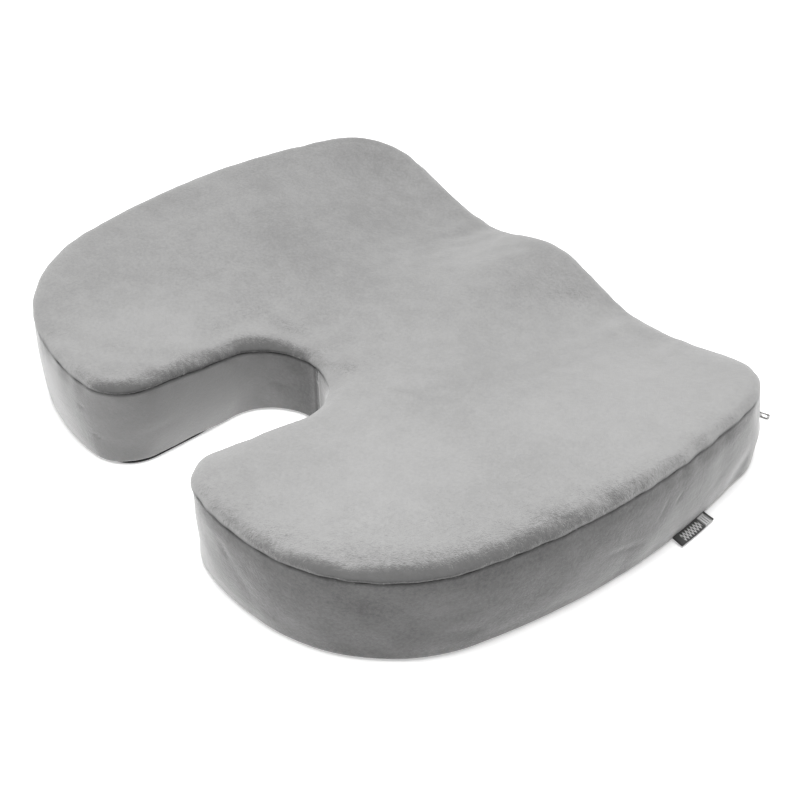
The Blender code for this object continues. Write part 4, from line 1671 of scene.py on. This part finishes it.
def make_wear_group() -> bpy.types.NodeTree:
    """Handling marks on metal: fine scratches, smudges and small dings.

    Returns:
        A group that gives a mask of smudges and a height of scratches.
    """
    group, graph, into, out = new_group(
        "Handling", {"Scratch Scale": ("Float", 900.0), "Smudge Scale": ("Float", 180.0)},
        {"Smudge": "Float", "Height": "Float"})
    place = graph.node("TexCoord").outputs["Object"]
    drawn = graph.node("VectorMath", {0: place, 1: (0.12, 1.0, 1.0)}, operation="MULTIPLY").outputs[0]
    scratches = graph.span(graph.noise(drawn, into.outputs["Scratch Scale"], 3.0, 0.6), 0.35, 0.65)
    smudge = graph.span(graph.noise(place, into.outputs["Smudge Scale"], 3.0, 0.6), 0.35, 0.70)
    dings = graph.noise(place, 1600.0, 1.0, 0.5)
    height = graph.math("ADD", graph.math("MULTIPLY", scratches, 0.6), graph.math("MULTIPLY", dings, 0.4))
    group.links.new(smudge, out.inputs["Smudge"])
    group.links.new(height, out.inputs["Height"])
    return group


PILE = make_pile_group()
WEAVE = make_weave_group()
WEAR = make_wear_group()


def new_material(name: str) -> tuple[bpy.types.Material, Graph, bpy.types.Node]:
    """Start a material.

    Args:
        name: the material's name.

    Returns:
        The material, its graph and its Principled shader.
    """
    material = bpy.data.materials.new(name)
    material.use_nodes = True
    return material, Graph(material.node_tree), material.node_tree.nodes["Principled BSDF"]


def use_group(graph: Graph, group: bpy.types.NodeTree, inputs: dict[str, object]) -> bpy.types.Node:
    """Place a node group with its own values."""
    return graph.node("Group", inputs, node_tree=group)


@dataclass(frozen=True)
class VelourFinish:
    """Short grey pile, its colour painted dark face on and pale at a grazing angle: painted shade and painted
    sheen.

    Args:
        name: the material's name.
        dark: brightness of the pile's darker blotches; a small share of it is the painted shade's colour.
        light: brightness of the pile's lighter blotches; painted light blends towards almost twice it.
        painted_sheen: how much pale colour is painted in at a grazing angle: painted sheen.
        blotch_scale: blotches per metre.
        streak: stretch of the marks; below 1 they run up the piece.
        contrast: strength of the blotches.
        depth: how far painted shade darkens the pile where it faces the camera.
        turn: the turning away between which that darkening fades out.
        painted_sheen_from: the turning away where the painted sheen begins.
        ragged: how uneven the edge of that painted shade is.
        fuzz: strength of the tufts' relief.
    """

    name: str
    dark: float = 0.30
    light: float = 0.36
    painted_sheen: float = 0.20
    blotch_scale: float = 16.0
    streak: float = 1.0
    contrast: float = 1.0
    depth: float = 0.75
    turn: tuple[float, float] = (0.14, 0.26)
    painted_sheen_from: float = 0.40
    ragged: float = 0.03
    fuzz: float = 0.50

    def material(self) -> bpy.types.Material:
        """Build the material."""
        material, graph, shader = new_material(self.name)
        pile = use_group(graph, PILE, {"Blotch Scale": self.blotch_scale, "Streak": self.streak,
                                       "Tuft Scale": 1500.0, "Fleck Amount": 0.35})
        nap = graph.node("Attribute", attribute_name="nap").outputs["Fac"]
        tuck = graph.node("Attribute", attribute_name="tuck").outputs["Fac"]
        fringe = pile.outputs["Fringe"]
        bump = graph.node("Bump", {"Height": pile.outputs["Height"], "Strength": self.fuzz,
                                   "Distance": 0.0007})
        tone = graph.span(pile.outputs["Tone"], 0.5 - 0.22 / self.contrast, 0.5 + 0.22 / self.contrast)
        colour = graph.blend(tone, grey(self.dark, 0.004), grey(self.light, 0.004))
        # Painted light from the panels' attribute, with a little random tone of the pile.
        colour = graph.blend(nap, colour, grey(self.light * 1.9, 0.004))
        # Painted shade and sheen: the colour is painted darker where the surface faces the camera and paler
        # at a grazing angle.
        facing = graph.node("LayerWeight", {"Blend": 0.5, "Normal": bump.outputs[0]}).outputs["Facing"]
        ragged = graph.math("ADD", facing, graph.span(fringe, 0.30, 0.70, -self.ragged, self.ragged))
        painted_face_on_shade = graph.span(ragged, self.turn[0], self.turn[1], self.depth, 0.0)
        colour = graph.blend(painted_face_on_shade, colour, grey(self.dark * 0.12, 0.004))
        painted_sheen = graph.math("MULTIPLY", graph.span(facing, self.painted_sheen_from, 1.0), self.painted_sheen)
        colour = graph.blend(painted_sheen, colour, grey(0.80, 0.003))
        # Painted shade along the seams and in the folds, partly squashed pile.
        crush_and_painted_shade = graph.math("MULTIPLY", tuck, graph.span(fringe, 0.60, 0.68, 0.80, 0.10))
        colour = graph.blend(crush_and_painted_shade, colour, grey(self.dark * 0.12, 0.004))
        graph.tree.links.new(colour, shader.inputs["Base Color"])
        rough = graph.span(pile.outputs["Tone"], 0.3, 0.7, 0.96, 0.86)
        graph.tree.links.new(rough, shader.inputs["Roughness"])
        shader.inputs["Specular IOR Level"].default_value = 0.12
        shader.inputs["Sheen Weight"].default_value = 0.45
        shader.inputs["Sheen Roughness"].default_value = 0.42
        shader.inputs["Sheen Tint"].default_value = (1.0, 1.0, 1.0, 1.0)
        graph.tree.links.new(bump.outputs[0], shader.inputs["Normal"])
        return material


@dataclass(frozen=True)
class BaseClothFinish:
    """Dark woven underside cloth."""

    name: str = "base_cloth"
    dark: float = 0.020
    light: float = 0.060

    def material(self) -> bpy.types.Material:
        """Build the material."""
        material, graph, shader = new_material(self.name)
        place = graph.node("TexCoord").outputs["Object"]
        weave = use_group(graph, WEAVE, {"Vector": place, "Warp Per Metre": 1150.0, "Weft Per Metre": 900.0})
        blotch = graph.noise(place, 30.0, 3.0, 0.6)
        share = graph.math("MULTIPLY", weave.outputs["Tone"], graph.span(blotch, 0.2, 0.8, 0.7, 1.1))
        colour = graph.blend(share, grey(self.dark, -0.02), grey(self.light, -0.02))
        rough = graph.span(weave.outputs["Tone"], 0.0, 1.0, 0.92, 0.72)
        graph.dress(shader, colour, rough, weave.outputs["Height"], 0.7, 0.0003)
        shader.inputs["Sheen Weight"].default_value = 0.15
        shader.inputs["Sheen Roughness"].default_value = 0.5
        return material


@dataclass(frozen=True)
class GripFinish:
    """Soft black grip dots with a little dust on them."""

    name: str = "grip_dots"
    colour: float = 0.016

    def material(self) -> bpy.types.Material:
        """Build the material."""
        material, graph, shader = new_material(self.name)
        place = graph.node("TexCoord").outputs["Object"]
        dust = graph.span(graph.noise(place, 260.0, 4.0, 0.65), 0.45, 0.75)
        colour = graph.blend(dust, grey(self.colour), grey(self.colour * 3.2))
        graph.dress(shader, colour, graph.span(dust, 0.0, 1.0, 0.42, 0.62))
        return material


@dataclass(frozen=True)
class FoamFinish:
    """Open-celled cream foam."""

    name: str = "memory_foam"

    def material(self) -> bpy.types.Material:
        """Build the material."""
        material, graph, shader = new_material(self.name)
        place = graph.node("TexCoord").outputs["Object"]
        cells = graph.node("TexVoronoi", {"Vector": place, "Scale": 700.0}).outputs["Distance"]
        ageing = graph.noise(place, 14.0, 3.0, 0.6)
        colour = graph.blend(graph.span(ageing, 0.3, 0.7), (0.80, 0.77, 0.68, 1.0), (0.72, 0.67, 0.54, 1.0))
        # Painted shade: darker in the cells' pits.
        colour = graph.blend(graph.span(cells, 0.35, 0.0, 0.0, 0.35), colour, (0.42, 0.38, 0.30, 1.0))
        graph.dress(shader, colour, graph.span(cells, 0.0, 0.5, 0.98, 0.85), cells, 0.6, 0.0006)
        return material


@dataclass(frozen=True)
class ThreadFinish:
    """Twisted grey sewing thread."""

    name: str = "sewing_thread"
    colour: float = 0.11

    def material(self) -> bpy.types.Material:
        """Build the material, once for every row."""
        if self.name in bpy.data.materials:
            return bpy.data.materials[self.name]
        material, graph, shader = new_material(self.name)
        place = graph.node("TexCoord").outputs["Object"]
        strands = graph.node("TexWave", {"Vector": place, "Scale": 900.0, "Distortion": 1.5, "Detail": 1.0},
                             bands_direction="DIAGONAL").outputs["Fac"]
        colour = graph.blend(strands, grey(self.colour * 0.65), grey(self.colour * 1.5))
        graph.dress(shader, colour, graph.span(strands, 0.0, 1.0, 0.75, 0.55), strands, 0.6, 0.0002)
        shader.inputs["Sheen Weight"].default_value = 0.2
        return material


@dataclass(frozen=True)
class TapeFinish:
    """Dark herringbone zip tape."""

    name: str = "zip_tape_weave"

    def material(self) -> bpy.types.Material:
        """Build the material, once for both tapes."""
        if self.name in bpy.data.materials:
            return bpy.data.materials[self.name]
        material, graph, shader = new_material(self.name)
        parts = graph.node("SeparateXYZ", {0: graph.node("TexCoord").outputs["Object"]})
        zigzag = graph.math("PINGPONG", parts.outputs[2], 0.0012)
        skewed = graph.math("ADD", parts.outputs[0], zigzag)
        place = graph.node("CombineXYZ", {0: skewed, 1: parts.outputs[2]}).outputs[0]
        weave = use_group(graph, WEAVE, {"Vector": place, "Warp Per Metre": 1500.0, "Weft Per Metre": 1700.0})
        colour = graph.blend(weave.outputs["Tone"], grey(0.035, -0.02), grey(0.105, -0.02))
        rough = graph.span(weave.outputs["Tone"], 0.0, 1.0, 0.9, 0.7)
        graph.dress(shader, colour, rough, weave.outputs["Height"], 0.6, 0.0002)
        return material


@dataclass(frozen=True)
class CoilFinish:
    """Dark nylon teeth, a little shiny where the slider rubs them."""

    name: str = "zip_nylon"

    def material(self) -> bpy.types.Material:
        """Build the material, once for both rows."""
        if self.name in bpy.data.materials:
            return bpy.data.materials[self.name]
        material, graph, shader = new_material(self.name)
        wear = use_group(graph, WEAR, {"Scratch Scale": 1400.0, "Smudge Scale": 240.0})
        colour = graph.blend(wear.outputs["Smudge"], grey(0.050, -0.02), grey(0.105, -0.02))
        rough = graph.span(wear.outputs["Smudge"], 0.0, 1.0, 0.48, 0.28)
        graph.dress(shader, colour, rough, wear.outputs["Height"], 0.3, 0.0001)
        return material


@dataclass(frozen=True)
class MetalFinish:
    """Bright plated zinc with handling marks."""

    brightness: float

    def material(self) -> bpy.types.Material:
        """Build the material."""
        material, graph, shader = new_material(f"plated_metal_{int(self.brightness * 100)}")
        wear = use_group(graph, WEAR, {"Scratch Scale": 1100.0, "Smudge Scale": 210.0})
        smudge = wear.outputs["Smudge"]
        colour = graph.blend(smudge, grey(self.brightness, 0.01), grey(self.brightness * 0.7, 0.02))
        rough = graph.span(smudge, 0.0, 1.0, 0.22, 0.40)
        graph.dress(shader, colour, rough, wear.outputs["Height"], 0.25, 0.0001)
        shader.inputs["Metallic"].default_value = 1.0
        return material


@dataclass(frozen=True)
class LabelFinish:
    """Charcoal damask with a pale woven line of small diamonds and a pale block near the front."""

    name: str = "label_damask"
    block: tuple[float, float] = (0.74, 0.94)
    line: tuple[float, float] = (0.14, 0.69)
    size: tuple[float, float] = (0.032, 0.020)

    def _band(self, graph: Graph, value: Socket, low: float, high: float, soft: float = 0.012) -> Socket:
        """A mask that is 1 between two values."""
        rise = graph.span(value, low - soft, low + soft)
        fall = graph.span(value, high + soft, high - soft)
        return graph.math("MULTIPLY", rise, fall)

    def material(self) -> bpy.types.Material:
        """Build the material."""
        material, graph, shader = new_material(self.name)
        along = graph.node("Attribute", attribute_name="label_along").outputs["Fac"]
        across = graph.node("Attribute", attribute_name="label_across").outputs["Fac"]
        leaf = graph.math("ABSOLUTE", graph.math("SUBTRACT", graph.math("MULTIPLY", across, 2.0), 1.0))
        block = graph.math("MULTIPLY", self._band(graph, along, *self.block),
                           self._band(graph, leaf, 0.03, 0.84, 0.03))
        bars = graph.math("SINE", graph.math("MULTIPLY", along, 2.0 * math.pi * 17.6))
        gaps = graph.math("MULTIPLY", graph.span(bars, 0.55, 0.85), self._band(graph, leaf, 0.10, 0.70, 0.04))
        block = graph.math("MULTIPLY", block, graph.math("SUBTRACT", 1.0, gaps))
        step = graph.math("PINGPONG", graph.math("MULTIPLY", along, 12.7), 0.5)
        far = graph.math("ABSOLUTE", graph.math("SUBTRACT", leaf, 0.43))
        away = graph.math("ADD", graph.math("MULTIPLY", far, 1.7), step)
        diamond = graph.math("MULTIPLY", graph.span(away, 0.64, 0.54), graph.span(away, 0.24, 0.32))
        marks = graph.math("MULTIPLY", diamond, self._band(graph, along, *self.line))
        mask = graph.math("MAXIMUM", block, marks)
        place = graph.node("CombineXYZ", {0: graph.math("MULTIPLY", along, self.size[0]),
                                          1: graph.math("MULTIPLY", across, self.size[1])}).outputs[0]
        weave = use_group(graph, WEAVE, {"Vector": place, "Warp Per Metre": 2600.0, "Weft Per Metre": 2600.0})
        ground = graph.blend(weave.outputs["Tone"], grey(0.040), grey(0.085))
        pale = graph.blend(weave.outputs["Tone"], grey(0.50), grey(0.74))
        colour = graph.blend(mask, ground, pale)
        rough = graph.span(weave.outputs["Tone"], 0.0, 1.0, 0.75, 0.50)
        graph.dress(shader, colour, rough, weave.outputs["Height"], 0.5, 0.00015)
        return material


@dataclass
class Cover:
    """The sewn cover and the foam in it."""

    zip_panel_end: float = 0.1820
    zip_level: float = 0.0115
    zip_opening: float = 0.0045
    wall_low: float = 0.0007
    end_gap: float = 0.00015

    def build(self) -> None:
        """Make and dress the cover's panels, the foam and the seams."""
        velour = VelourFinish("velour_top", 0.205, 0.280, 0.30, contrast=1.2, depth=0.66)
        top = settle(TopPanel().build(), [velour.material()], Slot.VELOUR, ["cover_top_panel"])
        right_end = FORM.front_stop(self.zip_panel_end)
        whole = 2.0 * FORM.length
        gap = self.end_gap
        walls = [
            (WallPanel("cover_wall_right", gap, right_end - gap, self.wall_low,
                       creases=RIGHT_WALL_CREASES), "boxing_right"),
            (WallPanel("cover_wall_left", whole - right_end + gap, whole - gap, self.wall_low,
                       creases=LEFT_WALL_CREASES), "boxing_left"),
            (WallPanel("cover_front_upper", right_end + gap, whole - right_end - gap,
                       self.zip_level + self.zip_opening, foot_roll=0.0012), "boxing_front_upper"),
            (WallPanel("cover_front_lower", right_end + gap, whole - right_end - gap, self.wall_low,
                       self.zip_level - self.zip_opening, rows=6, foot_roll=0.0014, roll=0.0011, bulge=0.0001,
                       pucker_depth=0.0001), "boxing_front_lower"),
        ]
        for panel, node in walls:
            # The walls' copy of the velour is darker than the top's, partly the pile's own lie and partly
            # painted shade, with more painted sheen at a grazing angle.
            finish = VelourFinish("velour_" + panel.name, 0.122, 0.186, 0.66, 14.0, 1.4, 1.3, depth=0.22,
                                  turn=(0.10, 0.40), painted_sheen_from=0.44, ragged=0.0, fuzz=0.45)
            wall = settle(panel.build(), [finish.material()], Slot.VELOUR, [node])
        base = BasePanel().build()
        settle(base, [BaseClothFinish().material(), GripFinish().material()], Slot.BASE, ["base_panel"])
        foam = settle(FoamBlock().build(), [FoamFinish().material()], Slot.FOAM, ["foam_core"])
        self._seams(right_end, whole)

    def _seams(self, right_end: float, whole: float) -> None:
        """Sew the seams on their inner side.

        Args:
            right_end: arc length of the right-hand upright seam at the front.
            whole: the outline's length.
        """
        hems = (("top", 0.0046, -0.0048, True), ("base", 0.0036, 0.0022, False))
        for name, inset, level, from_seam in hems:
            row = StitchRow(name + "_seam_stitches", name + "_seam_thread")
            row.round_the_outline(0.0, whole, inset, level, from_seam)
        for name, stop in (("slot", 0.0), ("front_right", right_end), ("front_left", whole - right_end)):
            row = StitchRow(name + "_seam_stitches", name + "_seam_thread")
            row.upright(stop, 0.0042, 0.004)

@dataclass
class Studio:
    """A plain pale floor under soft overhead light, and the camera."""

    eye: Colour = (0.6037, -0.4613, 0.6229)
    target: Colour = (0.0470, -0.0123, 0.0350)
    lens: float = 64.5
    floor_half: float = 1.25
    floor_drop: float = 0.0002
    air: float = 0.02

    def build(self) -> None:
        """Make the floor, the lights and the camera."""
        self._floor()
        self._light("overhead", (-0.05, 0.05, 2.3), (0.0, 0.0, 0.0), 1.7, 1.7, 80.0)
        self._light("right_fill", (1.2, -1.6, 1.2), (0.0, 0.0, 0.03), 1.4, 1.4, 10.5)
        self._light("left_fill", (-1.3, -1.5, 1.3), (0.0, 0.0, 0.03), 1.6, 1.4, 5.0)
        world = bpy.data.worlds.new("studio")
        bpy.context.scene.world = world
        world.use_nodes = True
        background = world.node_tree.nodes["Background"]
        background.inputs[0].default_value = (1.0, 1.0, 1.0, 1.0)
        graph = Graph(world.node_tree)
        seen = graph.node("LightPath").outputs["Is Camera Ray"]
        world.node_tree.links.new(graph.math("ADD", seen, self.air), background.inputs[1])
        self._camera()
        bpy.context.scene.view_settings.view_transform = "Standard"

    def _floor(self) -> None:
        """Make the floor."""
        size = self.floor_half
        mesh = bpy.data.meshes.new("floor")
        corners = [(-size, -size), (size, -size), (size, size), (-size, size)]
        mesh.from_pydata([(x, y, -self.floor_drop) for x, y in corners], [], [(0, 1, 2, 3)])
        floor = bpy.data.objects.new("floor", mesh)
        bpy.context.scene.collection.objects.link(floor)
        material, graph, shader = new_material("floor_paper")
        place = graph.node("TexCoord").outputs["Object"]
        tone = graph.noise(place, 3.0, 2.0, 0.5)
        graph.tree.links.new(graph.blend(tone, grey(0.93), grey(0.95)), shader.inputs["Base Color"])
        shader.inputs["Roughness"].default_value = 0.9
        shader.inputs["Specular IOR Level"].default_value = 0.1
        shader.inputs["Emission Color"].default_value = (1.0, 1.0, 1.0, 1.0)
        shader.inputs["Emission Strength"].default_value = 0.36
        mesh.materials.append(material)

    def _light(self, name: str, place: Colour, aim: Colour, wide: float, high: float, power: float) -> None:
        """Hang one soft box.

        Args:
            name: the light's name.
            place: where it hangs.
            aim: what it points at.
            wide: its width.
            high: its height.
            power: its power in watts.
        """
        light = bpy.data.lights.new(name, "AREA")
        light.shape = "RECTANGLE"
        light.size, light.size_y, light.energy = wide, high, power
        obj = bpy.data.objects.new(name, light)
        obj.location = place
        obj.rotation_euler = (Vector(aim) - Vector(place)).to_track_quat("-Z", "Y").to_euler()
        bpy.context.scene.collection.objects.link(obj)

    def _camera(self) -> None:
        """Set the camera."""
        camera = bpy.data.cameras.new("camera")
        camera.lens, camera.sensor_width = self.lens, 36.0
        camera.clip_start = 0.01
        obj = bpy.data.objects.new("camera", camera)
        obj.location = self.eye
        obj.rotation_euler = (Vector(self.target) - Vector(self.eye)).to_track_quat("-Z", "Y").to_euler()
        bpy.context.scene.collection.objects.link(obj)
        bpy.context.scene.camera = obj


def main() -> None:
    """Build the looks in order."""
    logging.basicConfig(level=logging.INFO, format="%(name)s %(message)s")
    SLACK.run()
    Cover().build()
    Zip().build()
    WovenLabel().build()
    Studio().build()


if __name__ == "__main__":
    main()
